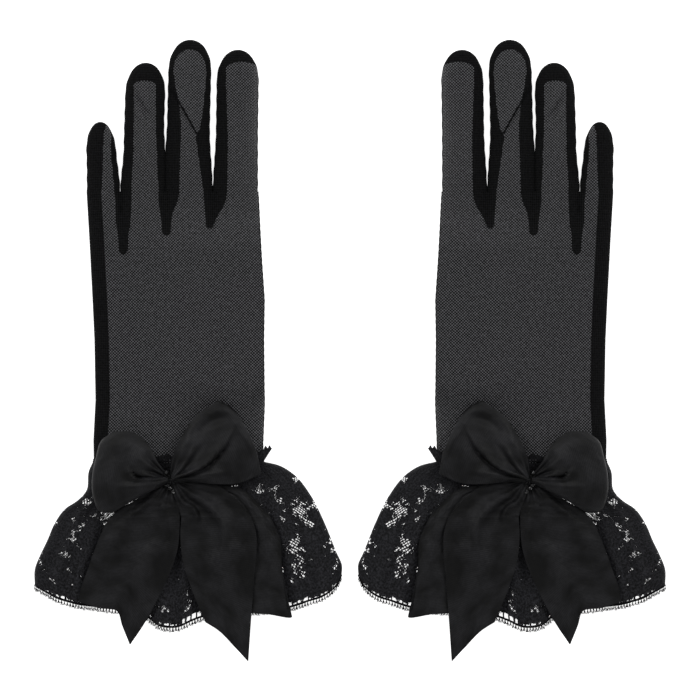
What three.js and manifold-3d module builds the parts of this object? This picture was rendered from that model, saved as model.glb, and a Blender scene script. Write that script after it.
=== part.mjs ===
// A pair of short evening gloves in sheer black net, laid flat with the backs of the hands up and the
// thumbs folded under the palms. Millimetres, +Z up, +Y towards the fingertips.
// One glove is built for the left hand, with y = 0 at its wrist seam, and is mirrored for the right hand.
// "Outer" is the little-finger side of a glove and "inner" is its thumb side.
import * as THREE from "three";
import { mergeVertices } from "three/addons/utils/BufferGeometryUtils.js";
import Module from "manifold-3d";

const wasm = await Module();
wasm.setup();

// Fabric and clearances.
const WALL = 0.8;
const GAP = 0.3;
const REACH = 1000;

// Hand, from the wrist seam to the knuckle line.
const HAND_LENGTH = 123;
const WRIST_WIDTH = 81.2;
const WRIST_CENTRE = 1.2;
const MID_HAND_WIDTH = 82.6;
const MID_HAND_CENTRE = 1.4;
const KNUCKLE_CENTRE = -1.6;
const WRIST_HEIGHT = 11;
const HAND_HEIGHT = 17;
const FINGER_HEIGHT = 10;
const SIDE_BAND_WIDTH = 6.7;

// Fingers, from the outer side to the inner side. A strip is the dark side panel as seen from above. A cap is
// how far the outer strip covers the fingertip. Some fingers have none.
const FINGERS = [
  { name: "pinky", width: 14.4, length: 33.4, outerStrip: 7.2, innerStrip: 1.9, cap: 0 },
  { name: "ring", width: 19.2, length: 61.8, outerStrip: 3.9, innerStrip: 3.4, cap: 8 },
  { name: "middle", width: 20.6, length: 72.8, outerStrip: 5.8, innerStrip: 6, cap: 4.8 },
  { name: "index", width: 20.2, length: 68, outerStrip: 5.4, innerStrip: 0, cap: 5.8 },
];
const FINGER_GAPS = [3.3, 1.5, 2.9];
const TIP_LENGTH = 14;

// Fourchette points: the dark darts that run from each crotch into the back and the palm of the hand.
const POINTS = [
  { name: "pinky_ring", width: 5.2, length: 29 },
  { name: "ring_middle", width: 10.6, length: 20.5 },
  { name: "middle_index", width: 9.6, length: 18 },
];

// Thumb, lying on the surface under the raised part of the palm.
const THUMB_WIDTH = 20;
const THUMB_HEIGHT = 8;
const THUMB_LENGTH = 62;
const THUMB_INSET = 18;
const THUMB_BASE = 42;
const THUMB_HOLE_RADIUS = 6.5;
const BAY_CLEARANCE = 1;

// Lace cuff: the gathered heading and the flounce that hangs from it.
const HEADING_LENGTH = 32.6;
const FLOUNCE_LENGTH = 32;
const HEM_SAG = 22;
const HEM_WIDTH = 148.4;
const HEM_CENTRE = 6.4;
const HEM_HEIGHT = 9;
const CUFF_NECK_WIDTH = 126;
const CUFF_NECK_CENTRE = 6.7;

// Satin bow. The ribbon's width is that of a loop and of a tail laid flat.
const RIBBON_THICKNESS = 0.8;
const BOW_CENTRE = new THREE.Vector2(-1.9, -14);
const KNOT_RADIUS = 6;
const KNOT_HEIGHT = 8;
const BEAD_RADIUS = 1.1;
const LOOP_HEIGHT = 12;
const LOOP_PINCH_HEIGHT = 2.8;
const LOOP_PINCH_WIDTH = 12;
const OUTER_LOOP = { length: 34.5, width: 40, angle: 175 };
const INNER_LOOP = { length: 37, width: 40, angle: 36 };

// Tails: the root's two edges at the cuff fold, and the points of the cut end, where x is from the bow's centre
// and y is from the cuff fold. A belly is how far the curve of a side is pulled out.
const TAILS = {
  outer_tail: { root: [-29.5, 4.3], end: [[-44, -40.5], [-25, -45.4], [-19.7, -61.2]], bellies: [-2, 10] },
  inner_tail: { root: [5, 38.6], end: [[16.3, -50.2], [36.9, -69.2]], bellies: [-8, 3.5] },
  back_tail: { root: [40, 47.5], end: [[40, -45.9], [57.8, -47.3], [55.4, -43.9]], bellies: [0, 3] },
};

// Space between the two gloves at their widest.
const PAIR_GAP = 6;

const NET = new THREE.MeshStandardMaterial({ name: "net", color: 0x343436, roughness: 0.8 });
const VELVET = new THREE.MeshStandardMaterial({ name: "fourchette", color: 0x111113, roughness: 0.95 });
const LACE = new THREE.MeshStandardMaterial({ name: "lace", color: 0x1c1c1e, roughness: 0.85 });
const SATIN = new THREE.MeshStandardMaterial({ name: "satin", color: 0x202022, roughness: 0.35 });

const CUFF_FOLD = -HEADING_LENGTH - GAP;
const BOW_BASE = WRIST_HEIGHT + GAP;
const LOOP_BASE = BOW_BASE + RIBBON_THICKNESS + GAP;
const KNUCKLE_WIDTH = sum(FINGERS.map((f) => f.width)) + sum(FINGER_GAPS);
const THUMB_X = MID_HAND_CENTRE + MID_HAND_WIDTH / 2 - THUMB_INSET;
const CURVE_STEPS = 3;
const TUBE_SIDES = 16;

// The outline across the hand and the cuff, for a half width and a height of 1: flat below, crowned above.
const SECTION = new THREE.Shape()
  .moveTo(0.88, 0)
  .quadraticCurveTo(1, 0, 1, 0.4)
  .quadraticCurveTo(1, 0.8, 0.8, 0.88)
  .quadraticCurveTo(0.4, 1, 0, 1)
  .quadraticCurveTo(-0.4, 1, -0.8, 0.88)
  .quadraticCurveTo(-1, 0.8, -1, 0.4)
  .quadraticCurveTo(-1, 0, -0.88, 0);

// Where the hand's outline is measured, from the knuckle line to the wrist seam.
const HAND_STATIONS = [
  { at: 1, width: KNUCKLE_WIDTH, centre: KNUCKLE_CENTRE, height: FINGER_HEIGHT },
  { at: 0.88, width: KNUCKLE_WIDTH, centre: KNUCKLE_CENTRE + 0.8, height: HAND_HEIGHT - 1.5 },
  { at: 0.72, width: MID_HAND_WIDTH, centre: MID_HAND_CENTRE - 0.8, height: HAND_HEIGHT },
  { at: 0.5, width: MID_HAND_WIDTH, centre: MID_HAND_CENTRE, height: HAND_HEIGHT },
  { at: 0.36, width: MID_HAND_WIDTH - 0.8, centre: MID_HAND_CENTRE, height: HAND_HEIGHT - 1.5 },
  { at: 0.22, width: WRIST_WIDTH, centre: WRIST_CENTRE, height: WRIST_HEIGHT },
  { at: 0, width: WRIST_WIDTH, centre: WRIST_CENTRE, height: WRIST_HEIGHT },
].map((station) => ({ ...station, y: station.at * HAND_LENGTH }));

// The heading, from the wrist seam to the cuff fold, and the flounce, from the fold to its hem.
const HEADING_STATIONS = [
  { y: -GAP, width: WRIST_WIDTH + 2, centre: WRIST_CENTRE + 1, height: WRIST_HEIGHT },
  { y: -0.5 * HEADING_LENGTH, width: widthBetween(0.45), centre: CUFF_NECK_CENTRE, height: WRIST_HEIGHT },
  { y: -HEADING_LENGTH, width: CUFF_NECK_WIDTH, centre: CUFF_NECK_CENTRE, height: WRIST_HEIGHT },
];
const FLOUNCE_STATIONS = [
  { y: CUFF_FOLD - GAP, width: CUFF_NECK_WIDTH, centre: CUFF_NECK_CENTRE, height: WRIST_HEIGHT },
  { y: CUFF_FOLD - 0.4 * FLOUNCE_LENGTH, width: HEM_WIDTH - 9, centre: HEM_CENTRE, height: WRIST_HEIGHT },
  { y: CUFF_FOLD - 0.85 * FLOUNCE_LENGTH, width: HEM_WIDTH, centre: HEM_CENTRE, height: HEM_HEIGHT },
  { y: CUFF_FOLD - FLOUNCE_LENGTH - HEM_SAG, width: HEM_WIDTH, centre: HEM_CENTRE, height: HEM_HEIGHT },
];

// The sum of a list of numbers.
function sum(values) {
  return values.reduce((total, value) => total + value, 0);
}

// The heading's width at a share of its spread from the wrist to the cuff fold.
function widthBetween(share) {
  return WRIST_WIDTH + share * (CUFF_NECK_WIDTH - WRIST_WIDTH);
}

// A manifold solid from a closed three.js geometry.
function solid(geometry) {
  const bare = geometry.clone();
  bare.deleteAttribute("normal");
  bare.deleteAttribute("uv");
  const merged = mergeVertices(bare, 1e-4);
  const triVerts = [];
  for (let i = 0; i < merged.index.count; i += 3) {
    const [a, b, c] = [merged.index.getX(i), merged.index.getX(i + 1), merged.index.getX(i + 2)];
    if (a !== b && b !== c && c !== a) triVerts.push(a, b, c);
  }
  const mesh = new wasm.Mesh({
    numProp: 3,
    vertProperties: merged.getAttribute("position").array,
    triVerts: new Uint32Array(triVerts),
  });
  return new wasm.Manifold(mesh);
}

// A named mesh from a manifold solid.
function piece(name, made, material) {
  const { vertProperties, triVerts, numProp } = made.getMesh();
  if (numProp !== 3) throw new Error(name + " has extra vertex properties");
  const geometry = new THREE.BufferGeometry();
  geometry.setAttribute("position", new THREE.BufferAttribute(vertProperties, 3));
  geometry.setIndex(new THREE.BufferAttribute(triVerts, 1));
  geometry.computeVertexNormals();
  const mesh = new THREE.Mesh(geometry, material);
  mesh.name = name;
  return mesh;
}

// A block between two corners. A missing side reaches far past the glove.
function block({ x = [-REACH, REACH], y = [-REACH, REACH], z = [-REACH, REACH] }) {
  const size = [x[1] - x[0], y[1] - y[0], z[1] - z[0]];
  const geometry = new THREE.BoxGeometry(...size);
  geometry.translate((x[0] + x[1]) / 2, (y[0] + y[1]) / 2, (z[0] + z[1]) / 2);
  return solid(geometry);
}

// A flat outline raised from one height to another.
function slab(shape, low, high, curveSegments = CURVE_STEPS) {
  const geometry = new THREE.ExtrudeGeometry(shape, { depth: high - low, bevelEnabled: false, curveSegments });
  geometry.translate(0, 0, low);
  return solid(geometry);
}

// The section carried through stations that run from the fingers' side to the hem's side. An inset makes the
// space inside a wall of that thickness.
function loft(stations, inset = 0) {
  const spans = stations.length - 1;
  const geometry = new THREE.ExtrudeGeometry(SECTION, {
    depth: spans,
    steps: spans,
    bevelEnabled: false,
    curveSegments: CURVE_STEPS,
  });
  const position = geometry.getAttribute("position");
  for (let i = 0; i < position.count; i += 1) {
    const { y, width, centre, height } = stations[Math.round(position.getZ(i))];
    const x = centre + position.getX(i) * (width / 2 - inset);
    const z = inset + position.getY(i) * (height - 2 * inset);
    position.setXYZ(i, x, y, z);
  }
  return solid(geometry);
}

// The stations of the space inside, which runs past each open end.
function throughStations(stations, closedStart) {
  const first = stations[0];
  const last = stations[stations.length - 1];
  const start = closedStart ? { ...first, y: first.y - WALL } : { ...first, y: first.y + 1 };
  return [start, ...stations.slice(1), { ...last, y: last.y - 1 }];
}

// A digit: an elliptical tube with a domed tip, its root at y = 0 and its lowest line at z = 0.
function digit(width, height, length, domedRoot = false) {
  const radius = width / 2;
  const tip = Math.min(TIP_LENGTH, length / 2);
  const dome = new THREE.EllipseCurve(0, length - tip, radius, tip, 0, Math.PI / 2).getPoints(4);
  const root = domedRoot
    ? new THREE.EllipseCurve(0, 0, radius, radius, -Math.PI / 2, 0).getPoints(4)
    : [new THREE.Vector2(0, 0), new THREE.Vector2(radius, 0)];
  const profile = [...root, ...dome].map((p) => new THREE.Vector2(Math.max(p.x, 0), p.y));
  profile[0].x = 0;
  profile[profile.length - 1].x = 0;
  const geometry = new THREE.LatheGeometry(profile, TUBE_SIDES);
  geometry.scale(1, 1, height / width);
  geometry.translate(0, 0, height / 2);
  return solid(geometry);
}

// The space inside a digit with walls, reaching back by some distance past the root.
function digitSpace(width, height, length, back) {
  const space = digit(width - 2 * WALL, height - 2 * WALL, length - WALL + back);
  return space.translate([0, -back, WALL]);
}

// Each finger with the x of its centre line.
function placedFingers() {
  let edge = KNUCKLE_CENTRE - KNUCKLE_WIDTH / 2;
  return FINGERS.map((finger, i) => {
    const x = edge + finger.width / 2;
    edge += finger.width + (FINGER_GAPS[i] ?? 0);
    return { ...finger, x };
  });
}

// One finger as its back, its palm side and its dark strips.
function fingerPieces({ name, width, length, outerStrip, innerStrip, cap, x }, side) {
  const root = HAND_LENGTH + GAP;
  const tip = root + length;
  const shell = digit(width, FINGER_HEIGHT, length)
    .subtract(digitSpace(width, FINGER_HEIGHT, length, 2))
    .translate([x, root, 0]);
  const outerEdge = x - width / 2 + outerStrip;
  const innerEdge = innerStrip ? x + width / 2 - innerStrip : x + width;
  const capEdge = cap ? tip - cap : tip + REACH;
  const middle = [outerEdge + GAP, innerEdge - GAP];
  const belowCap = [root - 1, capEdge - GAP];
  const seam = FINGER_HEIGHT / 2;
  const upper = block({ x: middle, y: belowCap, z: [seam + GAP / 2, REACH] });
  const lower = block({ x: middle, y: belowCap, z: [-REACH, seam - GAP / 2] });
  const dark = block({ x: [-REACH, outerEdge] }).add(block({ y: [capEdge, capEdge + REACH] }));
  const pieces = [
    piece(side + "_" + name + "_back", shell.intersect(upper), NET),
    piece(side + "_" + name + "_palm", shell.intersect(lower), NET),
    piece(side + "_" + name + "_outer_strip", shell.intersect(dark), VELVET),
  ];
  if (innerStrip) {
    const strip = block({ x: [innerEdge, REACH], y: belowCap });
    pieces.push(piece(side + "_" + name + "_inner_strip", shell.intersect(strip), VELVET));
  }
  return pieces;
}

// The outline of one fourchette point, from past the crotch to its rounded tip.
function pointOutline({ width, length }, x, grow) {
  const half = width / 2 + grow;
  const front = HAND_LENGTH + 1;
  const tip = HAND_LENGTH - length - grow;
  return new THREE.Shape()
    .moveTo(x + half, front)
    .lineTo(x - half, front)
    .quadraticCurveTo(x - 0.45 * half, HAND_LENGTH - 0.5 * length, x - 0.25 * half, tip + 0.6)
    .quadraticCurveTo(x, tip - 0.4, x + 0.25 * half, tip + 0.6)
    .quadraticCurveTo(x + 0.45 * half, HAND_LENGTH - 0.5 * length, x + half, front);
}

// The hand: back and palm panels, side band and fourchette points, hollow and open at the wrist. The palm is
// raised over the bay that the thumb lies in and swings out of.
function handPieces(fingers, side) {
  const bay = {
    x: [THUMB_X - THUMB_WIDTH / 2 - BAY_CLEARANCE, REACH],
    y: [THUMB_BASE - THUMB_WIDTH / 2 - BAY_CLEARANCE, THUMB_BASE + THUMB_LENGTH + BAY_CLEARANCE],
    z: [-1, THUMB_HEIGHT + GAP],
  };
  const grown = (by) => block({
    x: [bay.x[0] - by, bay.x[1]],
    y: [bay.y[0] - by, bay.y[1] + by],
    z: [bay.z[0], bay.z[1] + by],
  });
  const seam = FINGER_HEIGHT / 2;
  const hole = new THREE.CylinderGeometry(THUMB_HOLE_RADIUS, THUMB_HOLE_RADIUS, 4, TUBE_SIDES);
  hole.rotateX(Math.PI / 2);
  hole.translate(THUMB_X, THUMB_BASE, THUMB_HEIGHT + GAP + WALL / 2);
  let shell = loft(HAND_STATIONS)
    .subtract(grown(0))
    .subtract(loft(throughStations(HAND_STATIONS, true), WALL).subtract(grown(WALL)))
    .subtract(solid(hole));
  for (const { width, x } of fingers) {
    const bore = digitSpace(width, FINGER_HEIGHT, TIP_LENGTH * 2, 6);
    shell = shell.subtract(bore.translate([x, HAND_LENGTH, 0]));
  }
  const crotches = POINTS.map((point, i) => ({
    point,
    x: fingers[i].x + fingers[i].width / 2 + FINGER_GAPS[i] / 2,
  }));
  const points = crotches.map(({ point, x }) => {
    const dart = slab(pointOutline(point, x, 0), -1, REACH);
    return piece(side + "_fourchette_" + point.name, shell.intersect(dart), VELVET);
  });
  let panels = shell;
  for (const { point, x } of crotches) {
    panels = panels.subtract(slab(pointOutline(point, x, GAP), -1, REACH));
  }
  const bandEdge = WRIST_CENTRE - WRIST_WIDTH / 2 + SIDE_BAND_WIDTH;
  const band = shell.intersect(bandSide(bandEdge, 0));
  panels = panels.subtract(bandSide(bandEdge, GAP));
  const palm = panels.intersect(block({ z: [-REACH, seam - GAP / 2] }).add(grown(WALL)));
  const back = panels.subtract(block({ z: [-REACH, seam + GAP / 2] }).add(grown(WALL + GAP)));
  return [
    piece(side + "_back_panel", back, NET),
    piece(side + "_palm_panel", palm, NET),
    piece(side + "_side_band", band, VELVET),
    ...points,
  ];
}

// Everything on the outer side of the side band's seam, which leans outwards from the wrist to the knuckles.
function bandSide(wristX, grow) {
  const knuckleX = KNUCKLE_CENTRE - KNUCKLE_WIDTH / 2 + SIDE_BAND_WIDTH;
  const outline = new THREE.Shape()
    .moveTo(wristX + grow, -REACH)
    .lineTo(wristX + grow, 0)
    .lineTo(knuckleX + grow, HAND_LENGTH)
    .lineTo(knuckleX + grow, REACH)
    .lineTo(-REACH, REACH)
    .lineTo(-REACH, -REACH);
  return slab(outline, -REACH, REACH);
}

// The thumb: a closed tube with a round base that turns under the round hole in the palm.
function thumbPiece(side) {
  const outer = digit(THUMB_WIDTH, THUMB_HEIGHT, THUMB_LENGTH, true);
  const scale = (THUMB_HEIGHT - 2 * WALL) / (THUMB_WIDTH - 2 * WALL);
  const space = digit(THUMB_WIDTH - 2 * WALL, THUMB_WIDTH - 2 * WALL, THUMB_LENGTH - WALL, true)
    .scale([1, 1, scale])
    .translate([0, 0, WALL]);
  const hole = new THREE.CylinderGeometry(THUMB_HOLE_RADIUS, THUMB_HOLE_RADIUS, THUMB_HEIGHT, TUBE_SIDES);
  hole.rotateX(Math.PI / 2);
  hole.translate(0, 0, THUMB_HEIGHT);
  const made = outer.subtract(space).subtract(solid(hole)).translate([THUMB_X, THUMB_BASE, 0]);
  return piece(side + "_thumb", made, NET);
}

// The lace cuff as two hollow lofts that meet at the cuff fold. The hem is one long arc.
function cuffPieces(side) {
  const tube = (stations) => loft(stations).subtract(loft(throughStations(stations, false), WALL));
  const corner = CUFF_FOLD - FLOUNCE_LENGTH;
  const hem = new THREE.Shape()
    .moveTo(HEM_CENTRE + HEM_WIDTH, 0)
    .lineTo(HEM_CENTRE - HEM_WIDTH, 0)
    .lineTo(HEM_CENTRE - HEM_WIDTH / 2 - 1, corner)
    .quadraticCurveTo(HEM_CENTRE, corner - 2 * HEM_SAG, HEM_CENTRE + HEM_WIDTH / 2 + 1, corner);
  return [
    piece(side + "_lace_heading", tube(HEADING_STATIONS), LACE),
    piece(side + "_lace_flounce", tube(FLOUNCE_STATIONS).intersect(slab(hem, -1, REACH, 8)), LACE),
  ];
}

// The side view of a ribbon loop, from its pinched end at x = 0.
function teardrop(length, inset) {
  const low = inset;
  const high = LOOP_HEIGHT - inset;
  const end = length - inset;
  return new THREE.Shape()
    .moveTo(inset, low)
    .lineTo(0.3 * length, low)
    .bezierCurveTo(0.8 * length, low, end, low, end, LOOP_HEIGHT / 2)
    .bezierCurveTo(end, high, 0.6 * length, high, 0.35 * length, 0.75 * LOOP_HEIGHT - inset)
    .lineTo(inset, LOOP_PINCH_HEIGHT - inset);
}

// The plan of a ribbon loop, gathered at x = 0 and spread to the ribbon's full width.
function loopPlan(length, width) {
  const pinch = LOOP_PINCH_WIDTH / 2;
  const half = width / 2;
  return new THREE.Shape()
    .moveTo(0, -pinch)
    .quadraticCurveTo(0.3 * length, -half, 0.7 * length, -half)
    .quadraticCurveTo(length + 1, -0.8 * half, length + 1, 0)
    .quadraticCurveTo(length + 1, 0.8 * half, 0.7 * length, half)
    .quadraticCurveTo(0.3 * length, half, 0, pinch);
}

// One loop of the bow, turned about the knot to its own direction.
function loopPiece(name, { length, width, angle }) {
  const outline = teardrop(length, 0);
  outline.holes.push(teardrop(length, RIBBON_THICKNESS));
  const ribbon = new THREE.ExtrudeGeometry(outline, {
    depth: width + 2,
    bevelEnabled: false,
    curveSegments: 6,
  });
  ribbon.translate(0, 0, -width / 2 - 1);
  ribbon.rotateX(Math.PI / 2);
  const made = solid(ribbon)
    .intersect(slab(loopPlan(length, width), -1, REACH))
    .translate([KNOT_RADIUS + GAP, 0, 0])
    .rotate([0, 0, angle])
    .translate([BOW_CENTRE.x, BOW_CENTRE.y, LOOP_BASE]);
  return piece(name, made, SATIN);
}

// The gathered middle of the bow, with its beads and the sewn roots of the tails, which fan out under the loops.
function knotPiece(side) {
  const knot = new THREE.SphereGeometry(1, 12, 6);
  knot.rotateX(Math.PI / 2);
  knot.scale(KNOT_RADIUS, KNOT_RADIUS, KNOT_HEIGHT / 2);
  knot.translate(0, 0, BOW_BASE + KNOT_HEIGHT / 2);
  let made = solid(knot);
  for (let i = 0; i < 6; i += 1) {
    const bead = new THREE.SphereGeometry(BEAD_RADIUS, 5, 4);
    const turn = (i / 5) * Math.PI * 2;
    const out = i === 5 ? 0 : 2.4;
    const drop = i === 5 ? 0 : 0.4;
    bead.translate(out * Math.cos(turn), out * Math.sin(turn), BOW_BASE + KNOT_HEIGHT - drop);
    made = made.add(solid(bead));
  }
  const fold = CUFF_FOLD + GAP - BOW_CENTRE.y;
  const roots = new THREE.Shape()
    .moveTo(4, 2)
    .lineTo(-4, 2)
    .lineTo(TAILS.outer_tail.root[0], fold)
    .lineTo(TAILS.back_tail.root[1], fold);
  made = made.add(slab(roots, BOW_BASE, BOW_BASE + RIBBON_THICKNESS));
  return piece(side + "_bow_knot", made.translate([BOW_CENTRE.x, BOW_CENTRE.y, 0]), SATIN);
}

// One ribbon tail, flat on the lace from the cuff fold to its cut end.
function tailPiece(name, { root, end, bellies }) {
  const [near, far] = root;
  const [nearX, nearY] = end[0];
  const [farX, farY] = end[end.length - 1];
  const outline = new THREE.Shape()
    .moveTo(far, -GAP)
    .lineTo(near, -GAP)
    .quadraticCurveTo((near + nearX) / 2 + bellies[0], nearY / 2, nearX, nearY);
  end.slice(1).forEach(([x, y]) => outline.lineTo(x, y));
  outline.quadraticCurveTo((far + farX) / 2 + bellies[1], farY / 2, far, -GAP);
  const made = slab(outline, BOW_BASE, BOW_BASE + RIBBON_THICKNESS);
  return piece(name, made.translate([BOW_CENTRE.x, CUFF_FOLD, 0]), SATIN);
}

// One whole glove, for the left hand.
function glove(side) {
  const fingers = placedFingers();
  const group = new THREE.Group();
  group.add(...handPieces(fingers, side));
  fingers.forEach((finger) => group.add(...fingerPieces(finger, side)));
  group.add(thumbPiece(side), ...cuffPieces(side));
  group.add(knotPiece(side));
  group.add(loopPiece(side + "_bow_outer_loop", OUTER_LOOP));
  group.add(loopPiece(side + "_bow_inner_loop", INNER_LOOP));
  for (const [name, tail] of Object.entries(TAILS)) {
    group.add(tailPiece(side + "_bow_" + name, tail));
  }
  return group;
}

// The pair, centred over the origin and standing on z = 0.
function pair() {
  const tip = HAND_LENGTH + GAP + Math.max(...FINGERS.map((f) => f.length));
  const tailEnd = CUFF_FOLD + Math.min(...Object.values(TAILS).flatMap((t) => t.end.map(([, y]) => y)));
  const reach = HEM_CENTRE + HEM_WIDTH / 2 + PAIR_GAP / 2;
  const left = glove("left");
  left.position.set(-reach, -(tip + tailEnd) / 2, 0);
  const right = glove("right");
  right.scale.x = -1;
  right.position.set(reach, left.position.y, 0);
  const group = new THREE.Group();
  group.add(left, right);
  return group;
}

export default pair();
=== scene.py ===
"""A pair of short evening gloves: sheer net hands, opaque fourchettes, gathered lace cuffs and satin bows.

Each glove is built in its own millimetres: x runs from the little-finger side to the thumb side, y is 0 at the
wrist seam and grows towards the fingertips, and z is up from the surface that the gloves lie on.
"""

import logging
import math
from collections.abc import Sequence
from dataclasses import dataclass, field
from enum import Enum

import bmesh
import bpy
import numpy as np
from mathutils import Matrix, Vector

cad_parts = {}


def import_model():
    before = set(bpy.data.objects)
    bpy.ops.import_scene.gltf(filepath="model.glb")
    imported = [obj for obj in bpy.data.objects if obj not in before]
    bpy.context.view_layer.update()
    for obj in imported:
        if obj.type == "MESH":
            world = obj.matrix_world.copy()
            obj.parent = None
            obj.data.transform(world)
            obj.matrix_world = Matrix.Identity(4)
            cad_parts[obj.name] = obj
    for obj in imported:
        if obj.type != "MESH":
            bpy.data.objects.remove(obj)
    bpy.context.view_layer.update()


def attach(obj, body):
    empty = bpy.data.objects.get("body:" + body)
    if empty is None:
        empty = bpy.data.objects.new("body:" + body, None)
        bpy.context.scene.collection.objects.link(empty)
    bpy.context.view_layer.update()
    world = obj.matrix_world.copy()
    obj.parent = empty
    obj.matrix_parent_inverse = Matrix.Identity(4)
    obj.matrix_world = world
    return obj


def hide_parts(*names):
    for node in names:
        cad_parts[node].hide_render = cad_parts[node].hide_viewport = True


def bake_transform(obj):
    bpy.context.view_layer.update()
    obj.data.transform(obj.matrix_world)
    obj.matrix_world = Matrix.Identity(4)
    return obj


LOG = logging.getLogger("evening gloves")
MM = 0.001
REACH_X = 83.6
WRIST_Y = -47.0
CUFF_FOLD_Y = -32.9
KNUCKLE_Y = 123.0
KNUCKLE_BEND_MM = 14.0
CUFF_BEND_MM = 5.0
ROOT_BEND_MM = 7.0
TAIL_BEND_MM = 9.0
WELD_MM = 1e-3
TINY = 1e-6
WHITE = (1.0, 1.0, 1.0, 1.0)

Array = np.ndarray
Path = Sequence[tuple[float, float]]


class Side(Enum):
    """Which hand a glove is for, with the sign that its own x takes in the pair's frame."""

    LEFT = 1
    RIGHT = -1


class Slot(Enum):
    """The record's material slots."""

    NET = "net"
    FOURCHETTE = "fourchette"
    LACE = "lace"
    SATIN = "satin"
    BEAD = "bead"


# ---------------------------------------------------------------- small tools


def linear(code: str) -> tuple[float, float, float, float]:
    """Turn an sRGB hex colour into linear light.

    Args:
        code: A colour such as "1c1c1e".

    Returns:
        Linear red, green, blue and an alpha of 1.
    """
    parts = [int(code[i : i + 2], 16) / 255 for i in (0, 2, 4)]
    return (*(c / 12.92 if c <= 0.04045 else ((c + 0.055) / 1.055) ** 2.4 for c in parts), 1.0)


def ramp(x: Array | float, start: float, end: float) -> Array | float:
    """Rise smoothly from 0 at start to 1 at end."""
    t = np.clip((np.asarray(x, float) - start) / (end - start), 0, 1)
    return t * t * (3 - 2 * t)


def dome(x: Array | float) -> Array | float:
    """The height of a unit circle at x, and 0 past it."""
    return np.sqrt(np.clip(1 - np.square(x), 0, 1))


def distances(path: Array) -> Array:
    """How far along a path each of its points is."""
    return np.concatenate([[0], np.cumsum(np.linalg.norm(np.diff(path, axis=0), axis=1))])


def rail(points: Path, samples: Array) -> Array:
    """Run a smooth curve through points.

    Args:
        points: The points that it passes, at least two.
        samples: Where to sample it, from 0 to 1 along its length.

    Returns:
        One point for each sample.
    """
    pts = np.asarray(points, float)
    chord = distances(pts)
    chord /= chord[-1]
    slope = np.gradient(pts, chord, axis=0) if len(pts) > 2 else np.repeat(pts[1:] - pts[:1], 2, axis=0)
    k = np.clip(np.searchsorted(chord, samples, side="right") - 1, 0, len(pts) - 2)
    step = (chord[k + 1] - chord[k])[:, None]
    t = ((samples - chord[k])[:, None]) / step
    return (
        (2 * t**3 - 3 * t**2 + 1) * pts[k]
        + (t**3 - 2 * t**2 + t) * step * slope[k]
        + (3 * t**2 - 2 * t**3) * pts[k + 1]
        + (t**3 - t**2) * step * slope[k + 1]
    )


def link(data: bpy.types.ID) -> bpy.types.Object:
    """Put a mesh, lamp or camera into the scene as an object of the same name."""
    made = bpy.data.objects.new(data.name, data)
    bpy.context.scene.collection.objects.link(made)
    return made


def patch(low: Path, high: Path, start: Path, end: Path, u: Array, v: Array) -> Array:
    """Fill four curves with a Coons patch.

    Args:
        low: The side at v = 0, from start to end.
        high: The side at v = 1, from start to end.
        start: The edge at u = 0, from low to high.
        end: The edge at u = 1, from low to high.
        u: Samples along the sides.
        v: Samples across them.

    Returns:
        Points in an array of len(u) by len(v) by 2.
    """
    lo, hi = rail(low, u)[:, None], rail(high, u)[:, None]
    st, en = rail(start, v)[None], rail(end, v)[None]
    u, v = u[:, None, None], v[None, :, None]
    near = (1 - v) * np.array(low[0]) + v * np.array(high[0])
    far = (1 - v) * np.array(low[-1]) + v * np.array(high[-1])
    corners = (1 - u) * near + u * far
    return (1 - v) * lo + v * hi + (1 - u) * st + u * en - corners


@dataclass(frozen=True)
class Fold:
    """A fold in cloth: a ridge, or a lip that is high on the left of its path and drops on the right."""

    path: Path
    height: float
    width: float
    lip: bool = False

    def lift(self, plan: Array) -> Array:
        """How far the fold raises each point of a plan.

        Args:
            plan: Points, with x and y last.

        Returns:
            A height for each point.
        """
        line = rail(self.path, np.linspace(0, 1, 24))
        a, d = line[:-1], np.diff(line, axis=0)
        p = plan[..., None, :]
        t = np.clip(((p - a) * d).sum(-1) / (d * d).sum(-1), 0, 1)
        gap = p - (a + t[..., None] * d)
        far = np.linalg.norm(gap, axis=-1)
        k = far.argmin(-1)[..., None]
        dist = np.take_along_axis(far, k, -1)[..., 0]
        along = (k[..., 0] + np.take_along_axis(t, k, -1)[..., 0]) / len(d)
        fade = ramp(along, 1.0, 0.6) * ramp(along, -0.1, 0.12)
        swell = np.exp(-np.square(dist / self.width))
        if self.lip:
            turn = d[k[..., 0]]
            g = np.take_along_axis(gap, k[..., None], -2)[..., 0, :]
            signed = np.sign(turn[..., 0] * g[..., 1] - turn[..., 1] * g[..., 0]) * dist
            near = np.exp(-np.square(dist / (0.6 * self.width)))
            high = ramp(signed, -0.5, 0.5)
            swell = high * swell - (1 - high) * 0.7 * near
        return self.height * fade * swell


@dataclass(frozen=True)
class GloveFrame:
    """Where one glove lies in the pair's frame."""

    side: Side

    def name(self, piece: str) -> str:
        """The full name of a piece, node or body of this glove."""
        return f"{self.side.name.lower()}_{piece}"

    def place(self, points: Array) -> Array:
        """Turn the glove's own millimetres into the pair's metres."""
        p = np.asarray(points, float)
        x = (p[..., 0] - REACH_X) * self.side.value
        return np.stack([x, p[..., 1] + WRIST_Y, p[..., 2]], -1) * MM

    def at(self, x: float, y: float, z: float = 10.0) -> tuple[float, float, float]:
        """One point of the glove in the pair's metres."""
        return tuple(self.place(np.array([x, y, z])))


# ---------------------------------------------------------------- finishes


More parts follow.
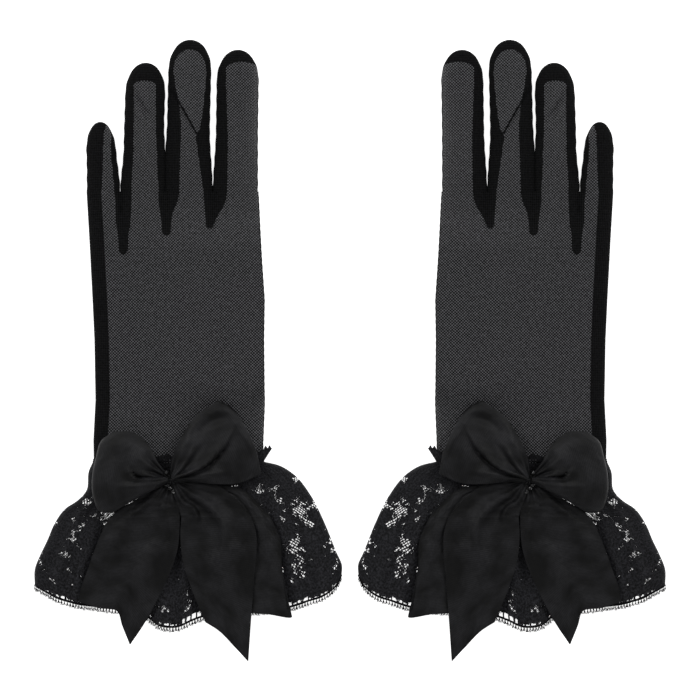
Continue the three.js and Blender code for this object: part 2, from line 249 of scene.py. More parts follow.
def feed(tree: bpy.types.NodeTree, node: bpy.types.Node, *values, **sockets) -> None:
    """Give a node's sockets their values and links.

    Args:
        tree: The node tree.
        node: The node.
        *values: What its first sockets take, in order: numbers, colours, sockets, or nodes for their first output.
        **sockets: What its other sockets take, by name, with "_" for each space.
    """
    named = [(node.inputs[name.replace("_", " ")], value) for name, value in sockets.items()]
    for socket, value in [*zip(node.inputs, values), *named]:
        if isinstance(value, bpy.types.Node):
            value = value.outputs[0]
        if isinstance(value, bpy.types.NodeSocket):
            tree.links.new(value, socket)
        else:
            socket.default_value = value


def add(tree: bpy.types.NodeTree, kind: str, *values, settings: dict | None = None, **sockets) -> bpy.types.Node:
    """Add a node with its settings, values and links.

    Args:
        tree: The node tree.
        kind: The node type without its "ShaderNode" prefix, and its operation after a dot if it has one.
        *values: What its first sockets take, in order, as for feed().
        settings: Other attributes to set.
        **sockets: What its other sockets take, by name, as for feed().

    Returns:
        The new node.
    """
    kind, _, operation = kind.partition(".")
    made = tree.nodes.new("ShaderNode" + kind)
    for key, value in ({"operation": operation} if operation else settings or {}).items():
        setattr(made, key, value)
    feed(tree, made, *values, **sockets)
    return made


@dataclass(frozen=True)
class Finish:
    """A finish: its name, its slot in the record, and how its surface is made."""

    name: str
    slot: Slot | None

    def dress(self, tree: bpy.types.NodeTree, shader: bpy.types.Node) -> None:
        """Add the finish's pattern to its shader. The plain finish has none."""

    def material(self) -> bpy.types.Material:
        """The finish's material, made the first time that it is asked for."""
        made = bpy.data.materials.get(self.name)
        if made is None:
            made = bpy.data.materials.new(self.name)
            made.use_nodes = True
            self.dress(made.node_tree, made.node_tree.nodes["Principled BSDF"])
        return made

    def cover(self, mesh: bpy.types.Mesh) -> bpy.types.Object:
        """Put a mesh into the scene as a piece of this finish, and log it."""
        piece = link(mesh)
        mesh.materials.append(self.material())
        LOG.info("%s: %d faces", piece.name, len(mesh.polygons))
        return piece


def coordinates(tree: bpy.types.NodeTree, wander: float, size: float) -> list[bpy.types.NodeSocket]:
    """The cloth's own millimetres, pulled about a little as real threads are.

    Args:
        tree: The node tree.
        wander: How far a thread strays, in millimetres.
        size: The spacing of the strays, in millimetres.

    Returns:
        The sockets across and along the cloth, and the vector that they come from.
    """
    uv = add(tree, "TexCoord").outputs["UV"]
    stray = add(tree, "TexNoise", Vector=uv, Scale=1 / size, Detail=2.0).outputs["Color"]
    shift = add(tree, "VectorMath.MULTIPLY_ADD", stray, (2 * wander,) * 3, (-wander,) * 3)
    moved = add(tree, "VectorMath.ADD", uv, shift)
    split = add(tree, "SeparateXYZ", moved)
    return [split.outputs[0], split.outputs[1], moved.outputs[0]]


@dataclass(frozen=True)
class NylonNet(Finish):
    """Sheer warp-knitted nylon net: columns of looped threads with a small hole between the loops.

    The eye sees fine staggered dark specks in a soft grey haze, a little clearer where the fingers stretch it. Real
    holes are 0.8 mm apart, and they are drawn a little coarser so that they show.
    """

    column_mm: float = 0.74
    row_mm: float = 0.7
    hole: float = 0.6
    clear: float = 0.05
    stretched: float = 0.35
    pit: str = "020202"
    thread: str = "5a5a5d"

    def dress(self, tree: bpy.types.NodeTree, shader: bpy.types.Node) -> None:
        """Cut the holes in the alpha and raise the loops between them."""
        x, y, moved = coordinates(tree, 0.25, 2.0)
        across = add(tree, "Math.COSINE", add(tree, "Math.MULTIPLY", x, math.pi / self.column_mm))
        along = add(tree, "Math.COSINE", add(tree, "Math.MULTIPLY", y, math.pi / self.row_mm))
        lattice = add(tree, "Math.MULTIPLY", across, along)
        worn = add(tree, "TexNoise", Vector=moved, Scale=0.6, Detail=4.0, Roughness=0.8)
        level = add(tree, "Math.MULTIPLY_ADD", worn, 1.6, lattice)
        least = 1.8 - self.hole
        edge = add(tree, "MapRange", level, From_Min=least - 0.2, From_Max=least + 0.15)
        stretch = add(tree, "MapRange", y, From_Min=100.0, From_Max=150.0, To_Min=self.clear, To_Max=self.stretched)
        gap = add(tree, "Math.MULTIPLY", edge, stretch)
        loops = add(tree, "MapRange", level, From_Min=0.35, From_Max=0.85)
        colour = add(tree, "MixRGB", loops, linear(self.thread), linear(self.pit))
        bump = add(tree, "Bump", settings={"invert": True}, Strength=0.5, Distance=0.0002, Height=loops)
        kept = add(tree, "Math.SUBTRACT", 1.0, gap)
        feed(tree, shader, Alpha=kept, Base_Color=colour, Normal=bump, Roughness=0.75, Specular_IOR_Level=0.2)


@dataclass(frozen=True)
class StretchKnit(Finish):
    """Matte black stretch jersey, as in fourchettes and bindings: fine ribs that swallow nearly all light."""

    colour: str = "030303"
    rib: str = "171718"
    rib_mm: float = 0.9

    def dress(self, tree: bpy.types.NodeTree, shader: bpy.types.Node) -> None:
        """Draw the ribs, which are 0.4 mm apart in the real cloth, as coarse as they need to show."""
        x, y, moved = coordinates(tree, 0.3, 1.8)
        wale = add(tree, "Math.SINE", add(tree, "Math.MULTIPLY", x, 2 * math.pi / self.rib_mm))
        course = add(tree, "Math.SINE", add(tree, "Math.MULTIPLY", y, 2 * math.pi / (1.3 * self.rib_mm)))
        worn = add(tree, "TexNoise", Vector=moved, Scale=0.7, Detail=3.0)
        loops = add(tree, "Math.MULTIPLY_ADD", wale, 0.25, add(tree, "Math.MULTIPLY_ADD", course, 0.2, worn))
        colour = add(tree, "MixRGB", loops, linear(self.colour), linear(self.rib))
        bump = add(tree, "Bump", Strength=0.6, Distance=0.0003, Height=loops)
        feed(tree, shader, Base_Color=colour, Normal=bump, Roughness=0.95, Specular_IOR_Level=0.08)


@dataclass(frozen=True)
class FloralLace(Finish):
    """Corded floral lace: dense flowers and scrolls joined by a fine net ground, with a firm border.

    The eye sees near-black petals with raised cords, grey with a painted highlight, and a few ragged clear patches
    between them.
    """

    flower_mm: float = 12.0
    ground_mm: float = 1.25
    thread: str = "040405"
    # The lighter end of the colour, used for random stitch tone and for the painted highlight on the raised cords.
    cord: str = "2e2e32"
    clearing_mm: float = 9.0
    filled: float = 0.56

    def dress(self, tree: bpy.types.NodeTree, shader: bpy.types.Node) -> None:
        """Build the flowers, the border and the net ground, cut the ground's meshes in the alpha, and paint a
        highlight on the raised cords.
        """
        x, y, moved = coordinates(tree, 0.9, 5.0)
        cells = add(tree, "TexVoronoi", Vector=moved, Scale=1 / self.flower_mm, Randomness=0.75)
        away = add(tree, "SeparateXYZ", add(tree, "VectorMath.SUBTRACT", moved, cells.outputs["Position"]))
        angle = add(tree, "Math.ARCTAN2", away.outputs[1], away.outputs[0])
        turn = add(tree, "SeparateColor", cells.outputs["Color"])
        phase = add(tree, "Math.MULTIPLY_ADD", turn, 6.0, add(tree, "Math.MULTIPLY", angle, 5.0))
        petal = add(tree, "Math.MULTIPLY_ADD", add(tree, "Math.COSINE", phase), 0.1, 0.38)
        inside = add(tree, "Math.SUBTRACT", petal, cells.outputs["Distance"])
        flower = add(tree, "Math.GREATER_THAN", inside, 0.0)
        veins = add(tree, "Math.LESS_THAN", add(tree, "Math.PINGPONG", inside, 0.05), 0.016)
        sparse = add(tree, "TexNoise", Vector=moved, Scale=1 / self.clearing_mm, Detail=6.0, Roughness=0.72)
        filled = add(tree, "Math.LESS_THAN", sparse, self.filled)
        dense = add(tree, "Math.MAXIMUM", add(tree, "Math.MAXIMUM", flower, filled), self.border(tree, x, y))
        mesh_a = self.threads(tree, add(tree, "Math.ADD", x, y))
        mesh_b = self.threads(tree, add(tree, "Math.SUBTRACT", x, y))
        cover = add(tree, "Math.MAXIMUM", dense, add(tree, "Math.MAXIMUM", mesh_a, mesh_b))
        drawn = add(tree, "MapRange", sparse, From_Min=0.44, From_Max=0.56, To_Min=0.2, To_Max=2.0)
        bars = add(tree, "Math.LESS_THAN", add(tree, "Math.PINGPONG", x, 1.3), 0.3)
        kept = add(tree, "MixRGB", add(tree, "Math.LESS_THAN", y, drawn), cover, bars)
        leaf = add(tree, "TexNoise", Vector=moved, Scale=0.35, Detail=3.0, Roughness=0.7)
        scroll = add(tree, "Math.LESS_THAN", add(tree, "Math.PINGPONG", leaf, 0.06), 0.02)
        grain = add(tree, "TexNoise", Vector=moved, Scale=1.0, Detail=3.0, Roughness=0.7)
        relief = add(tree, "Math.MAXIMUM", add(tree, "Math.MULTIPLY", veins, flower), scroll)
        stitches = add(tree, "MapRange", grain, From_Min=0.42, From_Max=0.68)
        # Painted highlight: the raised cords are made lighter, added to the random stitch tone.
        grain_and_painted_highlight = add(tree, "Math.MULTIPLY_ADD", relief, 0.35, stitches)
        colour = add(tree, "MixRGB", grain_and_painted_highlight, linear(self.thread), linear(self.cord))
        height = add(tree, "Math.MULTIPLY_ADD", relief, 0.6, grain)
        bump = add(tree, "Bump", Strength=0.8, Distance=0.0006, Height=height)
        feed(tree, shader, Alpha=kept, Base_Color=colour, Normal=bump, Roughness=0.7, Specular_IOR_Level=0.15)

    def border(self, tree: bpy.types.NodeTree, x: bpy.types.NodeSocket, y: bpy.types.NodeSocket) -> bpy.types.Node:
        """Where the cloth is solid: in scalloped lines near the hem, and next to the gathers."""
        wave = add(tree, "Math.MULTIPLY_ADD", add(tree, "Math.SINE", add(tree, "Math.MULTIPLY", x, 0.55)), 0.7, y)
        line = add(tree, "Math.LESS_THAN", add(tree, "Math.PINGPONG", add(tree, "Math.SUBTRACT", wave, 2.4), 3.4), 1.7)
        low = add(tree, "Math.MULTIPLY", line, add(tree, "Math.LESS_THAN", y, 8.0))
        return add(tree, "Math.MAXIMUM", low, add(tree, "Math.GREATER_THAN", y, 56.0))

    def threads(self, tree: bpy.types.NodeTree, along: bpy.types.Node) -> bpy.types.Node:
        """One set of the ground's parallel threads, drawn thicker than the real 0.1 mm so that they show."""
        return add(tree, "Math.LESS_THAN", add(tree, "Math.PINGPONG", along, self.ground_mm / 1.414), 0.24)


@dataclass(frozen=True)
class Satin(Finish):
    """Single-faced polyester satin ribbon with faint cross threads, and a soft, broad sheen in patches painted into
    its colour as painted highlight and shade.
    """

    # The two ends of the colour: the weave's tone and the painted sheen run between them.
    colour: str = "2b2b2e"
    deep: str = "010101"
    pick_mm: float = 0.95

    def dress(self, tree: bpy.types.NodeTree, shader: bpy.types.Node) -> None:
        """Draw the cross threads, 0.3 mm apart in the real ribbon, as coarse as they need to show, and paint broad
        patches of sheen into the colour.
        """
        _, y, moved = coordinates(tree, 0.1, 3.0)
        pick = add(tree, "Math.SINE", add(tree, "Math.MULTIPLY", y, 2 * math.pi / self.pick_mm))
        slub = add(tree, "TexNoise", Vector=moved, Scale=0.6, Detail=5.0, Roughness=0.75)
        thread = add(tree, "Math.MULTIPLY_ADD", pick, 0.16, slub)
        drift = add(tree, "TexNoise", Vector=moved, Scale=0.07, Detail=2.5)
        # Painted sheen: broad lighter and darker patches in the base colour that stand in for the satin's highlights
        # and shade.
        painted_sheen = add(tree, "MapRange", drift, From_Min=0.36, From_Max=0.64, To_Min=0.1)
        grain_and_painted_highlight = add(tree, "Math.MULTIPLY", thread, painted_sheen)
        colour = add(tree, "MixRGB", grain_and_painted_highlight, linear(self.deep), linear(self.colour))
        rough = add(tree, "Math.MULTIPLY_ADD", thread, 0.14, 0.44)
        height = add(tree, "Math.MULTIPLY_ADD", drift, 14.0, thread)
        bump = add(tree, "Bump", Strength=0.45, Distance=0.0003, Height=height)
        feed(tree, shader, Base_Color=colour, Roughness=rough, Normal=bump, Specular_IOR_Level=0.17, Anisotropic=0.3)


@dataclass(frozen=True)
class JetBead(Finish):
    """Polished black glass bead: a deep black body with a small hard glint on each facet."""

    colour: str = "0a0a0b"

    def dress(self, tree: bpy.types.NodeTree, shader: bpy.types.Node) -> None:
        """Vary the polish a little from bead to bead and over each one."""
        haze = add(tree, "TexNoise", Vector=add(tree, "TexCoord").outputs["Object"], Scale=900.0)
        polish = add(tree, "Math.MULTIPLY_ADD", haze, 0.12, 0.03)
        feed(tree, shader, Roughness=polish, Base_Color=linear(self.colour), IOR=1.6)


@dataclass(frozen=True)
class StudioFloor(Finish):
    """Matte white acrylic light table: even white that stays white under the sheer net."""

    glow: float = 0.9

    def dress(self, tree: bpy.types.NodeTree, shader: bpy.types.Node) -> None:
        """A plain pale surface that glows evenly."""
        feed(tree, shader, Base_Color=linear("f4f4f4"), Roughness=0.9)
        feed(tree, shader, Emission_Color=WHITE, Emission_Strength=self.glow)


NET = NylonNet("sheer_nylon_net", Slot.NET)
KNIT = StretchKnit("black_stretch_jersey", Slot.FOURCHETTE)
LACE = FloralLace("corded_black_lace", Slot.LACE)
LACE_THREAD = StretchKnit("black_lace_thread", Slot.LACE, colour="0c0c0d", rib="1a1a1c", rib_mm=0.5)
SATIN = Satin("black_satin_ribbon", Slot.SATIN)
JET = JetBead("black_glass_bead", Slot.BEAD)
TABLE = StudioFloor("white_acrylic_table", None)


# ---------------------------------------------------------------- cloth meshes


@dataclass
class Cloth:
    """Grids and cords of one piece, gathered in the glove's own millimetres and then made one mesh."""

    frame: GloveFrame
    points: list[Array] = field(default_factory=list)
    maps: list[Array] = field(default_factory=list)
    faces: list[Array] = field(default_factory=list)
    count: int = 0

    def grid(self, points: Array, uv: Array, under: bool = False) -> None:
        """Add a sheet of quads.

        Args:
            points: Rows by columns by 3. Rows run along +y and columns along +x where the sheet faces up.
            uv: The cloth's own millimetres at each point.
            under: Whether the sheet faces down.
        """
        rows, columns = points.shape[:2]
        index = np.arange(rows * columns).reshape(rows, columns) + self.count
        quads = np.stack([index[:-1, :-1], index[:-1, 1:], index[1:, 1:], index[1:, :-1]], -1)
        quads = quads.reshape(-1, 4)
        self.faces.append(quads[:, ::-1] if under else quads)
        self.points.append(points.reshape(-1, 3))
        self.maps.append(np.broadcast_to(uv, (rows, columns, 2)).reshape(-1, 2))
        self.count += rows * columns

    def cord(self, path: Array, radius: float | Array, sides: int = 6, loop: bool = False) -> None:
        """Add a round cord along a path, with its ends closed unless it is a loop.

        Args:
            path: The points along its middle.
            radius: Its radius, the same all along or one for each point.
            sides: How many sides it has.
            loop: Whether its last point joins its first.
        """
        path = np.asarray(path, float)
        if loop:
            path = np.concatenate([path, path[:1]])
            ahead = np.roll(path[:-1], -1, 0) - np.roll(path[:-1], 1, 0)
            ahead = np.concatenate([ahead, ahead[:1]])
        else:
            ahead = np.gradient(path, axis=0)
        ahead /= np.linalg.norm(ahead, axis=1, keepdims=True)
        up = np.where(np.abs(ahead[:, 2:]) > 0.9, [[1.0, 0, 0]], [[0, 0, 1.0]])
        across = np.cross(ahead, up)
        across /= np.linalg.norm(across, axis=1, keepdims=True)
        up = np.cross(across, ahead)
        turn = np.linspace(0, 2 * math.pi, sides + 1)
        size = np.broadcast_to(np.asarray(radius, float).reshape(-1, 1, 1), (len(path), 1, 1)).copy()
        if not loop:
            path = np.concatenate([path[:1], path, path[-1:]])
            across, up = (np.concatenate([a[:1], a, a[-1:]]) for a in (across, up))
            size = np.concatenate([size[:1] * 0, size, size[:1] * 0])
        ring = across[:, None] * np.cos(turn)[None, :, None] + up[:, None] * np.sin(turn)[None, :, None]
        uv = np.stack(np.meshgrid(turn * float(np.max(radius)), distances(path)), -1)
        self.grid(path[:, None] + ring * size, uv, under=True)

    def build(self, name: str, finish: Finish) -> bpy.types.Object:
        """Make the piece.

        Args:
            name: The piece's name without the glove's side.
            finish: What it is made of.

        Returns:
            The object, smooth and dressed, with its seams and poles closed.
        """
        faces = np.concatenate(self.faces)
        if self.frame.side is Side.RIGHT:
            faces = faces[:, ::-1]
        mesh = bpy.data.meshes.new(self.frame.name(name))
        mesh.from_pydata(self.frame.place(np.concatenate(self.points)).tolist(), [], faces.tolist())
        layer = mesh.uv_layers.new(name="cloth_mm")
        layer.data.foreach_set("uv", np.concatenate(self.maps)[faces.reshape(-1)].astype(np.float32).ravel())
        shape = bmesh.new()
        shape.from_mesh(mesh)
        bmesh.ops.remove_doubles(shape, verts=shape.verts, dist=WELD_MM * MM)
        bmesh.ops.dissolve_degenerate(shape, edges=shape.edges, dist=WELD_MM * MM)
        for face in shape.faces:
            face.smooth = True
        shape.to_mesh(mesh)
        shape.free()
        return finish.cover(mesh)


def thicken(piece: bpy.types.Object, thickness: float) -> None:
    """Give a sheet its thickness.

    Args:
        piece: The sheet.
        thickness: In millimetres, half of it to each side.
    """
    bpy.ops.object.select_all(action="DESELECT")
    piece.select_set(True)
    bpy.context.view_layer.objects.active = piece
    wall = piece.modifiers.new("thickness", "SOLIDIFY")
    wall.thickness, wall.offset = thickness * MM, 0.0
    bpy.ops.object.modifier_apply(modifier=wall.name)
    bpy.ops.object.shade_smooth_by_angle(angle=math.radians(50))
    piece.select_set(False)


# ---------------------------------------------------------------- hand and fingers


@dataclass(frozen=True)
class Finger:
    """One finger, an elliptical tube. A strip is the dark side panel's width as seen from above.

    The strips are given at distances from the knuckle line. A flare is how much wider a side is at the root than
    along the finger, and between which distances it grows.
    """

    name: str
    x: float
    width: float
    length: float
    outer: Path
    inner: Path
    cap: float
    nail: float
    outer_flare: tuple[float, float, float] = (0.0, 1.0, 0.0)
    inner_flare: tuple[float, float, float] = (0.0, 1.0, 0.0)
    lean: float = 0.0
    folds: tuple[Fold, ...] = ()
    seam: Path | None = None
    height: float = 8.0
    middle_z: float = 4.2
    tip: float = 15.0

    def rows(self) -> Array:
        """Distances from the knuckle line: even along the finger and close together at the tip."""
        end = self.length - self.cap
        bend = np.sin(np.linspace(0, math.pi / 2, 15)) * self.nail
        last = np.sin(np.linspace(0, math.pi / 2, 11)) * self.cap
        return np.concatenate([np.linspace(0, end - self.nail, 44)[:-1], end - self.nail + bend, (end + last)[1:]])

    def sides(self, t: Array) -> tuple[Array, Array]:
        """The half widths towards the outer and the inner side, before the tip narrows them."""
        halves = []
        for extra, start, full in (self.outer_flare, self.inner_flare):
            halves.append(self.width / 2 + extra * ramp(t, start, full) + 0.1 * np.sin(0.9 * t + extra + self.x))
        return tuple(halves)

    def narrow(self, t: Array) -> Array:
        """How much the tip narrows the finger at each distance, from 1 down to 0."""
        return dome(np.clip((self.tip - (self.length - t)) / self.tip, 0, 1)) ** 0.94

    def border(self, t: Array) -> tuple[Array, Array]:
        """The angles, from straight up, where the net window meets the outer and the inner strip."""
        outer, inner = self.sides(t)
        left = -outer + np.interp(t, *zip(*self.outer))
        right = inner - np.interp(t, *zip(*self.inner))
        room = np.clip(self.length - self.cap - t, 0, self.nail)
        closing = dome((self.nail - room) / self.nail)
        middle, reach = (left + right) / 2, (right - left) / 2 * closing
        angles = []
        for sign in (-1, 1):
            x = middle + sign * reach
            half = np.maximum(np.where(x < 0, outer, inner) * self.narrow(t), TINY)
            angles.append(np.arcsin(np.clip(x / half, -0.9999, 0.9999)))
        return tuple(angles)

    def surface(self, t: Array, angle: Array) -> Array:
        """Points of the tube at distances t and angles from straight up."""
        outer, inner = self.sides(t)
        narrow = self.narrow(t)[:, None]
        half = np.where(np.sin(angle) < 0, outer[:, None], inner[:, None]) * narrow
        lean = self.lean * ramp(t, 0.3 * self.length, self.length)[:, None]
        x = self.x + lean + half * np.sin(angle)
        y = np.broadcast_to((KNUCKLE_Y + t)[:, None], angle.shape)
        z = self.middle_z + self.height / 2 * narrow**0.8 * np.cos(angle)
        up = np.clip(np.cos(angle), 0, 1)
        for fold in self.folds:
            z = z + up * narrow * fold.lift(np.stack([x, y], -1))
        return np.stack([x, y, z], -1)

    def top(self, path: Path, lift: float) -> Array:
        """A path laid on the finger's back, a little above it."""
        plan = rail(path, np.linspace(0, 1, 40))
        t = plan[:, 1] - KNUCKLE_Y
        outer, inner = self.sides(t)
        x = plan[:, 0] - self.x - self.lean * ramp(t, 0.3 * self.length, self.length)
        angle = np.arcsin(np.clip(x / (np.where(x < 0, outer, inner) * self.narrow(t)), -1, 1))
        return self.surface(t, angle[:, None])[:, 0] + [0, 0, lift]


FINGERS = (
    Finger(
        "pinky", -35.45, 14.4, 33.4,
        outer=((0, 7.2), (4, 7.6), (18, 8.2), (26, 8.8)), inner=((0, 2.7), (6, 2.8), (22, 2.3), (27, 1.9)),
        cap=1.4, nail=8.0, inner_flare=(1.65, 20, 0), lean=-0.7,
    ),
    Finger(
        "ring", -15.35, 19.2, 61.8,
        outer=((0, 5.6), (6, 5.4), (20, 4.9), (40, 4.6), (52, 4.0)), inner=((0, 3.1), (10, 3.9), (34, 3.9), (46, 4.4)),
        cap=8.8, nail=2.6, outer_flare=(1.65, 22, 0), inner_flare=(0.9, 34, 15), lean=1.0,
        folds=(
            Fold([(-19.5, 169), (-15.5, 162.5), (-9.5, 154)], -1.6, 1.5),
            Fold([(-21, 166), (-12.5, 153)], 1.2, 1.5),
        ),
    ),
    Finger(
        "middle", 6.05, 20.6, 72.8,
        outer=((0, 7.0), (8, 7.2), (16, 7.4), (28, 7.2), (40, 6.0), (52, 3.5), (61, 2.0), (68, 1.6)),
        inner=((0, 4.4), (7, 5.2), (14, 5.7), (21, 6.2), (26.5, 6.8), (30, 4.6), (40, 3.3), (52, 2.5), (66, 1.8)),
        cap=4.8, nail=12.0, outer_flare=(0.9, 34, 15), inner_flare=(1.45, 30, 0), lean=0.9,
        folds=(Fold([(-2.5, 174), (3.6, 162.7), (7.4, 155.8), (12.4, 148)], 1.2, 1.8, True),),
        seam=[(-2.0, 173.0), (0.6, 167.8), (3.6, 162.7), (7.4, 155.8), (10.2, 150.6)],
    ),
    Finger(
        "index", 29.35, 20.2, 68.0,
        outer=((0, 7.0), (7, 7.0), (20, 6.2), (34, 5.5), (52, 4.6)), inner=((0, 0.5), (60, 0.5)),
        cap=6.0, nail=3.4, outer_flare=(1.45, 30, 0), lean=0.5,
        folds=(Fold([(24, 132), (30, 128), (36, 126)], 0.35, 2.0),),
    ),
)


@dataclass(frozen=True)
class Dart:
    """A fourchette's point in the hand: its two sides from the crotch, and its rounded end."""

    name: str
    low: Path
    high: Path
    end: Path


DARTS = (
    Dart(
        "pinky_ring",
        [(-29.3, 123), (-28.7, 118), (-28.6, 111), (-28.2, 107), (-27.5, 102.6), (-27.0, 95.8)],
        [(-21.0, 123), (-21.3, 112), (-21.6, 107), (-22.4, 102.6), (-22.6, 95.8)],
        [(-27.0, 95.8), (-26.4, 93.7), (-24.8, 92.6), (-23.3, 93.7), (-22.6, 95.8)],
    ),
    Dart(
        "ring_middle",
        [(-8.1, 123), (-8.0, 118), (-7.2, 112.2), (-6.5, 107), (-6.4, 104)],
        [(2.0, 123), (0.9, 118), (-1.4, 112.2), (-2.0, 107), (-2.1, 104)],
        [(-6.4, 104), (-5.8, 102.5), (-4.2, 101.8), (-2.7, 102.5), (-2.1, 104)],
    ),
    Dart(
        "middle_index",
        [(13.4, 123), (13.7, 118.5), (14.2, 113), (14.7, 108)],
        [(24.8, 123), (24.0, 118.5), (22.7, 115.2), (20.4, 111.6), (18.6, 108)],
        [(14.7, 108), (15.1, 106.0), (16.5, 105.1), (17.9, 106.0), (18.6, 108)],
    ),
)


@dataclass(frozen=True)
class Hand:
    """The hand of a glove: net back and palm, side band, darts, fingers, and the thumb under the palm."""

    frame: GloveFrame
    outer_edge: Path = (
        (-7, -39.2), (3.8, -39.4), (23, -38.4), (51.8, -38.9), (71, -39.8), (99.8, -41.3), (123, -42.65),
    )
    inner_edge: Path = (
        (-7, 41.6), (3.8, 41.8), (23, 42.6), (51.8, 42.3), (71, 42.6), (90.2, 41.3), (109.4, 40.2), (123, 39.45),
    )
    knuckles: tuple[float, float] = (-42.65, 39.45)
    wrist_y: float = -7.0
    crown: float = 9.6
    wrist_crown: float = 10.8
    cloth_z: float = 0.35
    bay_rise: float = 8.5
    back_rise: float = 4.6
    seam_z: float = 4.4
    seam_rise: float = 7.2
    columns_per_finger: int = 16
    thumb_at: tuple[float, float] = (24.7, 42.0)
    thumb_hole: float = 6.5

    def edges(self, y: Array) -> tuple[Array, Array]:
        """The outer and the inner edge's x at each y."""
        return tuple(np.interp(y, *zip(*edge)) for edge in (self.outer_edge, self.inner_edge))

    def beside_thumb(self, y: Array) -> Array:
        """How fully a place along the hand lies beside the thumb, from 0 to 1."""
        return ramp(y, 18, 30) * ramp(y, 118, 105.5)

    def surface(self, x: Array, y: Array, under: bool = False) -> Array:
        """The hand's upper or lower surface.

        Args:
            x: Positions across the hand.
            y: Positions along it.
            under: Whether the lower surface is wanted.

        Returns:
            The height at each position.
        """
        left, right = self.edges(y)
        share = np.clip((x - left) / (right - left), 0, 1)
        across = 2 * share - 1
        knuckle = self.knuckles[0] + share * (self.knuckles[1] - self.knuckles[0])
        hump = np.zeros_like(knuckle)
        for finger in FINGERS:
            outer, inner = finger.sides(np.zeros(1))
            away = knuckle - finger.x
            hump = np.maximum(hump, dome(np.clip(away / np.where(away < 0, outer, inner), -1, 1)))
        lumpy = FINGERS[0].middle_z + (-1 if under else 1) * FINGERS[0].height / 2 * hump
        thumb = self.beside_thumb(y)
        seam = self.seam_z + share * self.seam_rise * thumb
        if under:
            floor = self.cloth_z + self.bay_rise * ramp(x, 3, 13.2) * thumb
            smooth = floor + (seam - floor) * np.abs(across) ** 10
        else:
            wrist = (self.wrist_crown - self.crown) * ramp(y, 26, 4)
            rise = self.back_rise * ramp(x, -22, 16) * ramp(y, 10, 34) * ramp(y, 122, 96)
            top = self.crown + wrist + rise
            smooth = seam + (top - seam) * np.sqrt(np.clip(1 - np.abs(across) ** 5, 0, 1))
        ripple = 0.16 * np.sin(0.21 * x + 0.06 * y) * np.sin(0.13 * y - 0.05 * x) * (1 - across**2)
        blend = ramp(y, 94, KNUCKLE_Y)
        return smooth * (1 - blend) + lumpy * blend + ripple * (1 - blend)

    def knuckle_columns(self) -> Array:
        """The x of each column of cloth at the knuckle line."""
        columns: list[float] = []
        turn = np.linspace(-math.pi / 2, math.pi / 2, self.columns_per_finger + 1)
        for finger in FINGERS:
            outer, inner = finger.sides(np.zeros(1))
            columns.extend(finger.x + np.where(turn < 0, outer, inner) * np.sin(turn))
        return np.maximum.accumulate(columns)

    def sheet(self, columns: Array, under: bool) -> tuple[Array, Array]:
        """A sheet of the hand between some columns.

        Args:
            columns: The x of its columns at the knuckle line.
            under: Whether it is the palm's sheet.

        Returns:
            Its points and its own millimetres.
        """
        y = np.linspace(self.wrist_y, KNUCKLE_Y, 104)[:, None]
        share = (columns - self.knuckles[0]) / (self.knuckles[1] - self.knuckles[0])
        left, right = self.edges(y)
        x = left + share[None] * (right - left)
        y = np.broadcast_to(y, x.shape)
        points = np.stack([x, y, self.surface(x, y, under)], -1)
        return points, np.stack([np.broadcast_to(columns[None], x.shape), y], -1)

    def with_hole(self, cloth: Cloth, name: str, finish: Finish, z_low: float, z_high: float) -> bpy.types.Object:
        """Build a sheet with the round hole where the thumb joins the hand.

        Args:
            cloth: The sheet.
            name: The piece's name.
            finish: What it is made of.
            z_low: The lowest height that the hole cuts.
            z_high: The highest height that it cuts.

        Returns:
            The piece.
        """
        made = cloth.build(name, finish)
        centre = Vector(self.frame.at(*self.thumb_at))
        radius = self.thumb_hole * MM
        shape = bmesh.new()
        shape.from_mesh(made.data)
        gone = []
        for face in shape.faces:
            spot = face.calc_center_median()
            if z_low * MM < spot.z < z_high * MM and (spot.xy - centre.xy).length < radius:
                gone.append(face)
        bmesh.ops.delete(shape, geom=gone, context="FACES")
        for vert in shape.verts:
            away = vert.co.xy - centre.xy
            if vert.is_boundary and away.length < 1.4 * radius and z_low * MM < vert.co.z < z_high * MM:
                snapped = centre.xy + away.normalized() * radius
                vert.co.x, vert.co.y = snapped
        shape.to_mesh(made.data)
        shape.free()
        return made

    def panels(self) -> None:
        """The net back and palm, and the knitted side band round the outer edge."""
        columns = self.knuckle_columns()
        split = self.columns_per_finger // 2
        for name, node, under in (("back_net", "back_panel", False), ("palm_net", "palm_panel", True)):
            cloth = Cloth(self.frame)
            cloth.grid(*self.sheet(columns[split:], under), under=under)
            if under:
                made = self.with_hole(cloth, name, NET, 0.0, 11.0)
            else:
                made = cloth.build(name, NET)
            self.own(made, node)
        cloth = Cloth(self.frame)
        cloth.grid(*self.sheet(columns[: split + 1], False))
        cloth.grid(*self.sheet(columns[: split + 1], True), under=True)
        self.own(cloth.build("side_knit", KNIT), "side_band")

    def own(self, piece: bpy.types.Object, node: str | None = None) -> None:
        """Let a piece ride the hand, and stand for a CAD node."""
        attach(piece, self.frame.name("hand"))
        if node:
            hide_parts(self.frame.name(node))

    def darts(self) -> None:
        """The fourchettes' points, which lie over the net on the back and under it on the palm."""
        across = np.linspace(0, 1, 15)
        edge = (0.3 + 0.7 * dome(2 * across - 1))[None]
        for dart in DARTS:
            start = [dart.low[0], dart.high[0]]
            plan = patch(dart.low, dart.high, start, dart.end, np.linspace(0, 1, 36), across)[::-1]
            cloth = Cloth(self.frame)
            for under in (False, True):
                lift = (-0.3 if under else 0.3) * edge
                z = self.surface(plan[..., 0], plan[..., 1], under) + lift
                cloth.grid(np.concatenate([plan, z[..., None]], -1), plan, under=under)
            self.own(cloth.build(f"dart_{dart.name}", KNIT), f"fourchette_{dart.name}")

